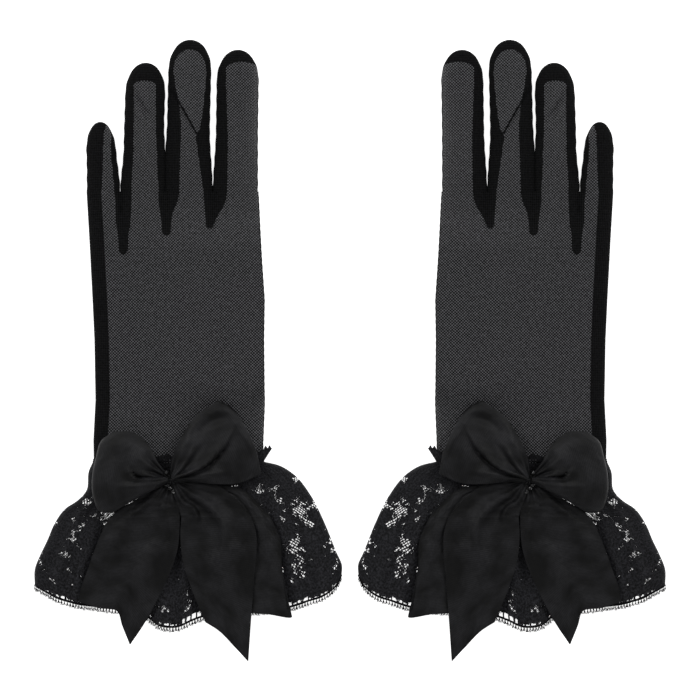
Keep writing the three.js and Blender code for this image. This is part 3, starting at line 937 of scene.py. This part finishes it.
    def fingers(self) -> None:
        """Each finger's net back and palm windows and its knitted strips."""
        for finger in FINGERS:
            t = finger.rows()
            outer, inner = finger.border(t)
            window = t <= finger.length - finger.cap + TINY
            whole = np.full(len(t), True)
            under_outer, under_inner = -math.pi - outer, math.pi - inner
            spans = {
                "back": (outer, inner, window, NET, 22),
                "palm": (under_inner, 2 * math.pi + under_outer, window, NET, 22),
                "outer_strip": (under_outer, outer, whole, KNIT, 18),
                "inner_strip": (inner, under_inner, whole, KNIT, 14),
            }
            for part, (start, end, keep, finish, count) in spans.items():
                share = np.linspace(0, 1, count + 1)[None]
                angle = (start[:, None] + share * (end - start)[:, None])[keep]
                points = finger.surface(t[keep], angle)
                if finish is KNIT:
                    uv = np.stack([angle * finger.width / 2, points[..., 1]], -1)
                else:
                    uv = points[..., :2]
                cloth = Cloth(self.frame)
                cloth.grid(points, uv)
                if part == "outer_strip" and finger.seam:
                    cloth.cord(finger.top(finger.seam, 0.1), 0.5)
                made = cloth.build(f"{finger.name}_{part}_cloth", finish)
                self.frame.name("hand")
                self.frame.name(f"{finger.name}_finger")
                self.frame.at(finger.x, KNUCKLE_Y)
                self.frame.at(finger.x, KNUCKLE_Y + KNUCKLE_BEND_MM)
                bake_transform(made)
                if (finger.name, part) != ("index", "inner_strip"):
                    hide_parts(self.frame.name(f"{finger.name}_{part}"))

    def thumb(self) -> None:
        """The thumb, a net tube folded under the palm and sewn round a hole in it."""
        x, y = self.thumb_at
        width, height, length, tip = 19.6, 7.4, 62.0, 14.0
        bend = np.sin(np.linspace(0, math.pi / 2, 12))
        middle = np.linspace(0, length - tip, 40)[1:-1]
        along = np.concatenate([-(width / 2) * bend[::-1], middle, length - tip + tip * bend])
        back = dome(np.clip(-along / (width / 2), 0, 1))
        front = dome(np.clip((along - length + tip) / tip, 0, 1))
        half = width / 2 * back * front
        angle = np.linspace(-math.pi, math.pi, 49)[None]
        thick = height / 2 * (half / (width / 2)) ** 0.8
        points = np.stack(
            [
                x + half[:, None] * np.sin(angle),
                np.broadcast_to((y + along)[:, None], (len(along), 49)),
                0.3 + height / 2 + thick[:, None] * np.cos(angle),
            ],
            -1,
        )
        cloth = Cloth(self.frame)
        cloth.grid(points, points[..., :2])
        made = self.with_hole(cloth, "thumb_net", NET, 4.2, 9.0)
        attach(made, self.frame.name("thumb"))
        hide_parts(self.frame.name("thumb"))
        turn = np.linspace(0, 2 * math.pi, 41)[:-1]
        ring = np.stack([x + self.thumb_hole * np.cos(turn), y + self.thumb_hole * np.sin(turn)], -1)
        seam = Cloth(self.frame)
        seam.cord(np.column_stack([ring, np.full(40, 8.35)]), 0.55, 8, loop=True)
        self.own(seam.build("thumb_seam", KNIT))
        side = points[:, 12] + [-0.05, 0, 0]
        edge = Cloth(self.frame)
        edge.cord(side[2:-2], 0.32)
        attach(edge.build("thumb_side_seam", KNIT), self.frame.name("thumb"))

    def seams(self) -> None:
        """The overlocked seam down the thumb side of the hand."""
        y = np.linspace(self.wrist_y, KNUCKLE_Y, 150)
        _, right = self.edges(y)
        x = right + 0.02 + 0.07 * np.sin(1.9 * y)
        cloth = Cloth(self.frame)
        cloth.cord(np.column_stack([x, y, self.surface(right, y)]), 0.3)
        self.own(cloth.build("inner_seam", KNIT))

    def make(self) -> None:
        """Build the whole hand."""
        self.panels()
        self.darts()
        self.fingers()
        self.thumb()
        self.seams()


# ---------------------------------------------------------------- lace cuff


@dataclass(frozen=True)
class LaceCuff:
    """A strip of lace gathered round the wrist, with a small frill above the gathers and a flounce below."""

    frame: GloveFrame
    outer: Path = (
        (-39.6, -6.5), (-41.6, -10.9), (-42.9, -20.6), (-46.4, -24.6), (-53.5, -29.6), (-57.9, -35.9), (-61.8, -44.8),
        (-65.0, -51.4), (-67.6, -58.3), (-67.6, -65.8),
    )
    inner: Path = (
        (42.2, -6.5), (50.4, -8.6), (56.7, -12.6), (65.0, -23.0), (71.3, -35.6), (77.2, -50.2), (79.8, -56.4),
        (79.6, -61.0),
    )
    hem: Path = (
        (-67.6, -65.8), (-62.4, -68.8), (-55.0, -72.4), (-45.6, -74.8), (-35.0, -76.2), (-26.9, -77.4), (-14.0, -80.6),
        (-7.0, -85.0), (0.6, -85.6), (8.0, -82.4), (14.4, -80.2), (35.0, -78.0), (55.2, -76.0), (62.4, -73.6),
        (71.0, -70.6), (76.8, -66.0), (79.6, -61.0),
    )
    flutes: int = 13
    columns: int = 150
    cut_width_mm: float = 300.0
    cut_depth_mm: float = 75.0
    picot_mm: float = 1.5
    picot_length: float = 2.6

    def ring(self) -> tuple[Array, Array]:
        """Places round the cuff: shares across it, out over the top and back below, and the layer's sign."""
        half = (1 - np.cos(np.linspace(0, math.pi, self.columns + 1))) / 2
        half = 0.35 * half + 0.65 * np.linspace(0, 1, self.columns + 1)
        across = np.concatenate([half, half[::-1][1:]])
        layer = np.concatenate([np.ones(self.columns + 1), -np.ones(self.columns)])
        return across, layer

    def plan(self, across: Array, down: Array) -> Array:
        """Where a point lies, seen from above.

        Args:
            across: Shares from the outer to the inner boundary.
            down: Shares from the gathers to the hem.

        Returns:
            Its x and y.
        """
        s, t = across[..., None], down[..., None]
        flat = down.reshape(-1)
        sides = [rail(side, flat).reshape(*down.shape, 2) for side in (self.outer, self.inner)]
        straight = (1 - s) * np.array(self.hem[0]) + s * np.array(self.hem[-1])
        belly = rail(self.hem, across.reshape(-1)).reshape(straight.shape) - straight
        return (1 - s) * sides[0] + s * sides[1] + belly * t**1.7

    def surface(self, across: Array, down: Array, layer: Array) -> Array:
        """Points of the cuff's cloth, fluted more and more towards the hem."""
        plan = self.plan(across, down)
        round_off = np.sqrt(np.clip(1 - np.abs(2 * across - 1) ** 6, 0, 1))
        middle = 5.0 - 0.6 * down
        top = 10.9 - 2.6 * down
        low = 0.9 + 0.5 * down
        wave = np.sin(2 * math.pi * (self.flutes * across + 0.25 * np.sin(9 * across) + 0.1 * layer))
        gathers = np.sin(2 * math.pi * (4.3 * self.flutes * across + 0.4 * np.sin(31 * across)))
        flute = (0.1 + 1.15 * down**1.1) * wave + 0.28 * ramp(down, 0.75, 0.0) * gathers
        z = np.where(layer > 0, middle + (top - middle) * round_off, middle - (middle - low) * round_off)
        z = z + flute * round_off * np.where(layer > 0, 1.0, 0.55)
        return np.concatenate([plan, np.maximum(z, 0.35)[..., None]], -1)

    def bend(self, piece: bpy.types.Object) -> None:
        """Fix a piece of the flounce where it lies, baking its placement into its mesh."""
        self.frame.name("hand")
        self.frame.name("cuff")
        self.frame.at(0, CUFF_FOLD_Y + CUFF_BEND_MM)
        self.frame.at(0, CUFF_FOLD_Y - CUFF_BEND_MM)
        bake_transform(piece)

    def flounce(self) -> None:
        """The gathered lace from the wrist to the hem, with its corded edge and picots."""
        across, layer = self.ring()
        down = np.linspace(1, 0, 56)
        a, t = np.meshgrid(across, down)
        points = self.surface(a, t, np.broadcast_to(layer, a.shape))
        span = self.cut_width_mm / 2
        uv = np.stack(np.meshgrid(across * span, (1 - down) * self.cut_depth_mm), -1)
        cloth = Cloth(self.frame)
        cloth.grid(points, uv)
        lace = cloth.build("lace_cuff", LACE)
        edge = Cloth(self.frame)
        rim = points[0, :-1]
        edge.cord(rim, 0.36, 5, loop=True)
        self.picots(edge, rim, rim - points[2, :-1])
        trim = edge.build("lace_picots", LACE_THREAD)
        self.bend(lace)
        self.bend(trim)
        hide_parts(self.frame.name("lace_flounce"))
        self.frame.name("lace_heading")

    def picots(self, cloth: Cloth, rim: Array, outward: Array) -> None:
        """Add a row of small forked loops along the hem.

        Args:
            cloth: The piece that they belong to.
            rim: Points along the hem.
            outward: The way the cloth runs out at each of them.
        """
        closed = np.concatenate([rim, rim[:1]])
        length = distances(closed)
        spots = np.linspace(0, length[-1], round(length[-1] / self.picot_mm) + 1)[:-1]
        out = np.concatenate([outward, outward[:1]])
        out[:, 2] *= 0.3
        out /= np.linalg.norm(out, axis=1, keepdims=True)
        for k, spot in enumerate(spots):
            base = np.array([np.interp(spot, length, closed[:, i]) for i in range(3)])
            way = np.array([np.interp(spot, length, out[:, i]) for i in range(3)])
            side = np.cross(way, [0, 0, 1.0])
            reach = self.picot_length * (0.9 + 0.1 * math.sin(2.4 * k))
            fork = base + way * reach * 0.45
            for turn in (-1, 1):
                tip = base + way * reach + side * turn * 0.42
                cloth.cord(np.array([base, fork, tip]), np.array([0.2, 0.19, 0.24]), 3)

    def frill(self) -> None:
        """The lace's raw edge, which stands in a small ruffle above the gathers."""
        across, layer = self.ring()
        rise = np.linspace(0, 1, 9)
        a, s = np.meshgrid(across, rise)
        side = np.broadcast_to(layer, a.shape)
        foot = self.surface(a, np.zeros_like(a), side)
        wave = np.sin(2 * math.pi * (19 * a + 0.3 * np.sin(11 * a) + 0.2 * side))
        ragged = 0.5 * np.sin(2 * math.pi * 47 * a) + 0.5 * wave
        x = foot[..., 0] + 4.1 * s * ramp(a, 0.6, 1.0)
        tall = 1.2 + 5.6 * ramp(a, 0.86, 0.97) + 2.6 * np.exp(-np.square((a - 0.43) / 0.05))
        y = foot[..., 1] + s * tall * (1 + 0.16 * ragged)
        spread = 1 + 0.1 * s + 0.09 * s * wave
        z = np.maximum(5 + (foot[..., 2] - 5) * spread, 0.35)
        cloth = Cloth(self.frame)
        cloth.grid(np.stack([x, y, z], -1), np.stack(np.meshgrid(across * 150, 78 + 7 * rise), -1))
        band = Cloth(self.frame)
        band.cord(foot[0, :-1], 0.32, 5, loop=True)
        gather = band.build("gather_stitching", LACE_THREAD)
        made = cloth.build("lace_frill", LACE)
        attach(made, self.frame.name("hand"))
        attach(gather, self.frame.name("hand"))
        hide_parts(self.frame.name("lace_heading"))

    def make(self) -> None:
        """Build the whole cuff."""
        self.flounce()
        self.frill()


# ---------------------------------------------------------------- satin bow


RIBBON_MM = 39.0


@dataclass(frozen=True)
class Loop:
    """One loop of the bow, seen from above: its two selvedges from the knot, its far end, and how far it leans."""

    name: str
    low: Path
    high: Path
    end: Path
    puff: float
    folds: tuple[Fold, ...]
    length_mm: float
    tilt: float = 0.0


@dataclass(frozen=True)
class Tail:
    """One tail of the bow: its selvedges from the knot to the cuff's fold, and from there to its cut end."""

    name: str
    root_low: Path
    root_high: Path
    low: Path
    high: Path
    end: Path
    drop: float
    folds: tuple[Fold, ...]
    length_mm: float
    raised: float = 0.0
    shown_mm: float = RIBBON_MM


OUTER_LOOP = Loop(
    "outer_loop",
    low=[(-3.4, -16.2), (-12.2, -20.8), (-20.4, -25.0), (-29.6, -30.6)],
    high=[(-3.0, -12.4), (-7.4, -7.2), (-12.7, 1.9), (-20.8, 8.0), (-29.0, 8.0)],
    end=[(-29.6, -30.6), (-35.6, -30.0), (-39.0, -22.0), (-39.2, -12.5), (-37.4, -4.0), (-35.0, 3.6), (-29.0, 8.0)],
    puff=6.2,
    folds=(
        Fold([(-3.5, -13.6), (-13, -14.0), (-18.6, -13.4), (-20.6, -9.8), (-20.0, -6.0)], 1.9, 1.7, True),
        Fold([(-4, -14.8), (-16, -17.6), (-30, -18.6)], 1.3, 1.9),
        Fold([(-4, -15.6), (-12, -20.0), (-22, -23.6)], 1.2, 1.5),
        Fold([(-4, -13), (-10, -8.5), (-15, 0.5), (-18, 4)], -1.5, 2.6),
        Fold([(-4, -13.4), (-10.5, -11.4), (-15.4, -11.0)], -1.0, 1.0),
    ),
    length_mm=78.0,
)
INNER_LOOP = Loop(
    "inner_loop",
    low=[(-0.4, -15.6), (9.4, -15.6), (19.5, -16.8), (31.0, -16.4), (41.6, -12.0)],
    high=[(-1.8, -12.4), (-1.4, -7.0), (0.6, 0.0), (3.8, 6.2), (9.0, 14.4), (20.6, 22.8)],
    end=[(41.0, -12.0), (39.4, -3.4), (34.8, 8.0), (29.6, 16.4), (25.4, 20.6), (20.6, 22.8)],
    puff=6.4,
    folds=(
        Fold([(-0.5, -14.6), (8.8, -11.4), (15.0, -8.2), (22.3, -1.0), (28.0, 8.0), (30, 13)], 2.0, 3.6, True),
        Fold([(-0.5, -14.6), (10, -12.6), (20, -12.2), (29, -11)], 1.2, 2.0),
        Fold([(-0.8, -13.2), (4.0, -8.2), (7.6, -3.0), (12, 4)], 1.4, 1.3),
        Fold([(2.5, -11.5), (7.6, -6.5), (11.5, -0.8), (17, 5)], -1.1, 1.6),
        Fold([(10, 6), (16, 12), (24, 14.5), (29, 12.5)], -1.4, 2.2),
        Fold([(39.8, -11), (37.4, -2), (33.4, 5.5), (28.0, 10.5)], 0.9, 1.2),
    ),
    tilt=3.2,
    length_mm=86.0,
)
OUTER_TAIL = Tail(
    "outer_tail",
    root_low=[(-4.6, -16.2), (-12.0, -20.5), (-22.0, -26.5), (-31.4, -32.9)],
    root_high=[(-1.6, -17.6), (0.2, -22), (1.8, -27), (2.4, -32.9)],
    low=[(-31.4, -32.9), (-35.7, -41.8), (-38.6, -49.0), (-42.0, -58.6), (-45.3, -68.2), (-45.9, -73.4)],
    high=[(2.4, -32.9), (2.2, -38.4), (0.8, -50.0), (-2.6, -59.6), (-6.0, -67.2), (-14.6, -83.6), (-21.6, -94.1)],
    end=[(-45.9, -73.4), (-36.5, -76.4), (-27.6, -78.0), (-25.4, -84.5), (-21.6, -94.1)],
    drop=2.2,
    folds=(
        Fold([(-4, -17.5), (-10.8, -24), (-16.4, -28.3), (-21.3, -32.4), (-23.5, -40)], 2.1, 1.7),
        Fold([(-3, -18.5), (-6.9, -24), (-2.2, -34), (-0.6, -43.7), (-3.5, -56)], 1.1, 2.2),
        Fold([(-4.5, -18.0), (-12, -30), (-14, -44), (-19, -60)], -1.0, 4.2),
        Fold([(-24, -36), (-31, -50), (-36, -66)], 0.9, 4.0),
        Fold([(-10, -48), (-17, -62), (-24, -76)], 0.8, 4.5),
    ),
    length_mm=90.0,
)
INNER_TAIL = Tail(
    "inner_tail",
    root_low=[(-1.6, -17.2), (-0.4, -22), (1.6, -27), (3.1, -32.9)],
    root_high=[(0.6, -15.2), (9.5, -15.8), (19.5, -17.3), (28.0, -23.0), (36.7, -32.9)],
    low=[(3.1, -32.9), (2.6, -40), (3.8, -53.8), (8.2, -68.0), (14.4, -83.1)],
    high=[(36.7, -32.9), (38.6, -39.4), (38.9, -50), (38.0, -60), (36.6, -78), (35.0, -102.1)],
    end=[(14.4, -83.1), (20.5, -87.0), (28.6, -95.2), (35.0, -102.1)],
    drop=2.8,
    folds=(
        Fold([(0, -16.6), (8, -22), (18, -29), (23.2, -38), (22.8, -48), (18.5, -57), (11, -66)], 2.1, 2.4),
        Fold([(-0.5, -18), (3.5, -25), (9.6, -29.6), (10.4, -33.6), (5.6, -34.8)], 2.0, 1.2),
        Fold([(1, -16.2), (12, -19.5), (24, -26), (32, -38)], -0.8, 2.2),
        Fold([(2, -17.5), (12, -27), (16, -40), (13, -52)], -1.1, 3.2),
        Fold([(31, -36), (33, -52), (31, -70), (32, -88)], -0.8, 3.2),
        Fold([(26, -44), (26, -60), (22, -76)], 0.8, 3.8),
    ),
    length_mm=92.0,
    raised=0.5,
)
BACK_TAIL = Tail(
    "back_tail",
    root_low=[(2.0, -16.4), (14, -19.5), (27, -23.6), (33.1, -32.9)],
    root_high=[(2.4, -15.2), (18, -16.6), (34, -20.8), (45.6, -32.9)],
    low=[(33.1, -32.9), (34.2, -46), (34.2, -62), (35.6, -78.8)],
    high=[(45.6, -32.9), (50.4, -44.0), (51.0, -58), (52.2, -68), (53.5, -76.8)],
    end=[(35.6, -78.8), (44, -79.4), (55.9, -80.2), (53.5, -76.8)],
    drop=1.6,
    folds=(Fold([(40, -34), (45, -48), (46, -66)], 0.8, 3.0),),
    length_mm=82.0,
    raised=-1.3,
    shown_mm=20.0,
)


@dataclass(frozen=True)
class Bow:
    """The satin bow: two loops and three tails of one ribbon, drawn in at the middle and sewn down with beads."""

    frame: GloveFrame
    centre: tuple[float, float] = (-1.9, -14.6)
    thickness: float = 0.35
    knot_z: float = 17.2
    fold_z: float = 12.7
    bead_radius: float = 1.05
    bead_length: float = 1.7
    beads: tuple[tuple[float, float, float], ...] = (
        (-12.4, -11.6, 18.6), (-3.8, -11.3, 19.0), (-3.5, -17.3, 18.8), (-2.2, -19.0, 18.2), (-0.5, -20.4, 17.4),
        (-4.9, -14.6, 19.0),
    )

    def finish_ribbon(self, cloth: Cloth, name: str, length: float) -> bpy.types.Object:
        """Build a length of ribbon with its thickness."""
        made = cloth.build(name, SATIN)
        thicken(made, self.thickness)
        LOG.info("%s is cut from %.0f mm of ribbon", made.name, length)
        return made

    def pleats(self, plan: Array) -> Array:
        """The fine gathers that fan out from the middle and die away."""
        away = plan - np.array(self.centre)
        far = np.linalg.norm(away, axis=-1)
        turn = np.arctan2(away[..., 1], away[..., 0])
        fan = np.sin(17 * turn + 1.3 * np.sin(3 * turn) + 0.05 * far)
        return 0.42 * fan * ramp(far, 2.0, 6.0) * ramp(far, 24, 7)

    def loop(self, loop: Loop) -> None:
        """One loop: the ribbon runs out from the knot, turns, and comes back beneath itself."""
        turn = np.linspace(0, math.pi, 97)
        out = np.sin(turn) ** 0.8
        v = np.linspace(0, 1, 57)
        halfway = tuple((a + b) / 2 for a, b in zip(loop.low[0], loop.high[0]))
        start = [loop.low[0], halfway, loop.high[0]]
        plan = patch(loop.low, loop.high, start, loop.end, out, v)
        upper = np.clip(np.cos(turn), -1, 1)[:, None]
        crown = 0.5 + 0.5 * (1 - (2 * v[None] - 1) ** 4)
        swell = 0.3 + 0.7 * ramp(out, 0.0, 0.5)[:, None]
        middle = self.knot_z - 2.4 * ramp(out, 0.0, 0.7)[:, None]
        rise = np.where(upper > 0, loop.puff * crown * swell, 1.5 * swell)
        z = middle + upper * rise
        top = ramp(upper, 0.05, 0.5)
        z = z - loop.tilt * (1 - v[None]) * ramp(out, 0.1, 0.9)[:, None] * ramp(upper, -0.4, 0.6)
        for fold in loop.folds:
            z = z + top * fold.lift(plan)
        z = z + (0.35 + 0.65 * top) * self.pleats(plan)
        length = np.cumsum(np.concatenate([[0], np.hypot(np.diff(out), np.diff(upper[:, 0]) * 0.25)])) * 42
        uv = np.stack(np.meshgrid(v * RIBBON_MM, length), -1)
        cloth = Cloth(self.frame)
        cloth.grid(np.concatenate([plan, z[..., None]], -1)[:, ::-1], uv[:, ::-1])
        made = self.finish_ribbon(cloth, f"satin_{loop.name}", loop.length_mm)
        centre = np.array(self.centre)
        way = np.mean(np.array(loop.end), axis=0) - centre
        way /= np.linalg.norm(way)
        near, far = centre + 2.5 * way, centre + 12 * way
        self.frame.name("hand")
        self.frame.name(loop.name)
        self.frame.at(*near)
        self.frame.at(*far)
        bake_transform(made)
        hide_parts(self.frame.name(f"bow_{loop.name}"))
        self.frame.name("bow_knot")

    def tail_height(self, tail: Tail, plan: Array) -> Array:
        """How high a tail lies: down from the knot, flat over the cuff, and drooping past the hem."""
        far = np.linalg.norm(plan - np.array(self.centre), axis=-1)
        root = (self.knot_z - 0.9 - self.fold_z) * ramp(far, 20, 2)
        puff = 1.3 * ramp(far, 3, 10) * ramp(far, 30, 14)
        down = tail.drop * ramp(plan[..., 1], CUFF_FOLD_Y, -96)
        z = self.fold_z + root + puff - down + self.pleats(plan)
        for fold in tail.folds:
            z = z + fold.lift(plan)
        return z + tail.raised

    def tail(self, tail: Tail) -> None:
        """One tail, in two pieces: its root from the knot to the cuff's fold, and its free length from there."""
        v = np.linspace(0, 1, 49)
        line = [tail.low[0], tail.high[0]]
        start = [tail.root_low[0], tail.root_high[0]]
        root = patch(tail.root_low, tail.root_high, start, line, np.linspace(0, 1, 25), v)
        free = patch(tail.low, tail.high, line, tail.end, np.linspace(0, 1, 65), v)
        parts = (
            ("root", root, 0.0, ("hand", "cuff"), (CUFF_FOLD_Y + ROOT_BEND_MM, CUFF_FOLD_Y)),
            ("tail", free, 26.0, ("cuff", tail.name), (CUFF_FOLD_Y, CUFF_FOLD_Y - TAIL_BEND_MM)),
        )
        stem = tail.name.removesuffix("_tail")
        for part, plan, begin, bodies, bend in parts:
            z = self.tail_height(tail, plan)
            points = np.concatenate([plan, z[..., None]], -1)
            uv = np.stack(np.meshgrid(v * RIBBON_MM, begin + np.linspace(0, 1, len(plan)) * 60), -1)
            cloth = Cloth(self.frame)
            cloth.grid(points, uv, under=True)
            made = self.finish_ribbon(cloth, f"satin_{stem}_{part}", tail.length_mm)
            held, moved = (self.frame.name(body) for body in bodies)
            self.frame.at(0, bend[0])
            self.frame.at(0, bend[1])
            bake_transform(made)
            if part == "root":
                continue
            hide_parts(self.frame.name(f"bow_{tail.name}"))
            self.frame.name("lace_flounce")

    def knot(self) -> None:
        """The middle of the bow, where all its folds are drawn together and stitched down."""
        away = np.concatenate([[0.0], np.linspace(0.35, 5.2, 16)])[:, None]
        turn = np.linspace(0, 2 * math.pi, 97)[None]
        crease = np.sin(11 * turn + 0.8 * np.sin(2 * turn)) * ramp(away, 0.2, 2.6)
        reach = away * (1 + 0.08 * np.sin(11 * turn + 1) + 0.16 * np.cos(2 * turn))
        x = self.centre[0] + reach * np.cos(turn)
        y = self.centre[1] + 0.86 * reach * np.sin(turn)
        z = self.knot_z + 1.5 - 0.5 * ramp(away, 1.6, 0.0) - 3.4 * ramp(away, 2.2, 5.4) + 0.42 * crease
        cloth = Cloth(self.frame)
        cloth.grid(np.stack([x, y, z], -1), np.stack([3 * turn + 0 * away, away + 0 * turn], -1), under=True)
        made = cloth.build("satin_knot", SATIN)
        thicken(made, self.thickness)
        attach(made, self.frame.name("hand"))
        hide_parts(self.frame.name("bow_knot"))

    def bead_row(self) -> None:
        """The beads sewn on and beside the knot, all copies of one faceted bead."""
        bpy.ops.object.select_all(action="DESELECT")
        bpy.ops.mesh.primitive_cylinder_add(vertices=8, radius=self.bead_radius * MM, depth=self.bead_length * MM)
        bead = bpy.context.object
        bpy.ops.object.mode_set(mode="EDIT")
        bpy.ops.mesh.select_all(action="DESELECT")
        shape = bmesh.from_edit_mesh(bead.data)
        for face in shape.faces:
            face.select = abs(face.normal.z) > 0.9
        bmesh.update_edit_mesh(bead.data)
        bpy.ops.mesh.inset(thickness=0.6 * MM)
        bpy.ops.transform.resize(value=(1, 1, 0.55))
        bpy.ops.mesh.select_all(action="SELECT")
        bpy.ops.mesh.bevel(offset=0.22 * MM, segments=1, affect="EDGES")
        bpy.ops.object.mode_set(mode="OBJECT")
        source = bead.data
        whole = bmesh.new()
        for k, spot in enumerate(self.beads):
            part = source.copy()
            turn = Matrix.Rotation(0.7 + 1.9 * k, 4, "Z") @ Matrix.Rotation(1.1 + 0.5 * k, 4, "X")
            part.transform(Matrix.Translation(self.frame.at(*spot)) @ turn)
            whole.from_mesh(part)
            bpy.data.meshes.remove(part)
        mesh = bpy.data.meshes.new(self.frame.name("bow_beads"))
        bmesh.ops.recalc_face_normals(whole, faces=whole.faces)
        whole.to_mesh(mesh)
        whole.free()
        bpy.data.objects.remove(bead)
        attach(JET.cover(mesh), self.frame.name("hand"))

    def make(self) -> None:
        """Build the whole bow."""
        for tail in (BACK_TAIL, OUTER_TAIL, INNER_TAIL):
            self.tail(tail)
        for loop in (OUTER_LOOP, INNER_LOOP):
            self.loop(loop)
        self.knot()
        self.bead_row()


# ---------------------------------------------------------------- studio


@dataclass(frozen=True)
class Studio:
    """A plain white table under soft lights, with the camera straight above."""

    camera_height: float = 2.0
    lens: float = 214.0
    table_size: float = 6.0
    table_drop: float = 0.0004
    sky: float = 0.42

    def camera(self) -> None:
        """The camera, with +Y up in its view."""
        lens = bpy.data.cameras.new("camera")
        lens.lens, lens.sensor_width = self.lens, 36.0
        made = link(lens)
        made.location = (0, 0, self.camera_height)
        bpy.context.scene.camera = made

    def light(self, name: str, spot: tuple[float, float, float], size: float, watts: float) -> None:
        """A soft square light that faces the gloves."""
        lamp = bpy.data.lights.new(name, "AREA")
        lamp.size, lamp.energy = size, watts
        made = link(lamp)
        made.location = spot
        made.rotation_euler = (-Vector(spot)).to_track_quat("-Z", "Y").to_euler()

    def make(self) -> None:
        """Set up the table, the lights and the camera."""
        bpy.ops.object.select_all(action="DESELECT")
        bpy.ops.mesh.primitive_plane_add(size=self.table_size, location=(0, 0, 0))
        table = bpy.context.object
        table.name = "studio_table"
        bpy.ops.object.mode_set(mode="EDIT")
        bpy.ops.mesh.subdivide(number_cuts=3)
        bpy.ops.object.mode_set(mode="OBJECT")
        table.data.transform(Matrix.Translation((0, 0, -self.table_drop)))
        table.data.materials.append(TABLE.material())
        world = bpy.data.worlds.new("studio")
        bpy.context.scene.world = world
        world.use_nodes = True
        feed(world.node_tree, world.node_tree.nodes["Background"], Color=WHITE, Strength=self.sky)
        for name, x in (("key_left", -0.95), ("key_right", 0.95)):
            self.light(name, (x, 0.95, 1.1), 0.7, 9.5)
        self.light("fill", (0, -1.3, 1.2), 1.0, 1.5)
        bpy.context.scene.view_settings.view_transform = "Standard"
        self.camera()


def main() -> None:
    """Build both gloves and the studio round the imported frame."""
    logging.basicConfig(level=logging.INFO, format="%(name)s: %(message)s")
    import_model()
    for side in Side:
        frame = GloveFrame(side)
        Hand(frame).make()
        LaceCuff(frame).make()
        Bow(frame).make()
    Studio().make()
    bpy.context.view_layer.update()


if __name__ == "__main__":
    main()
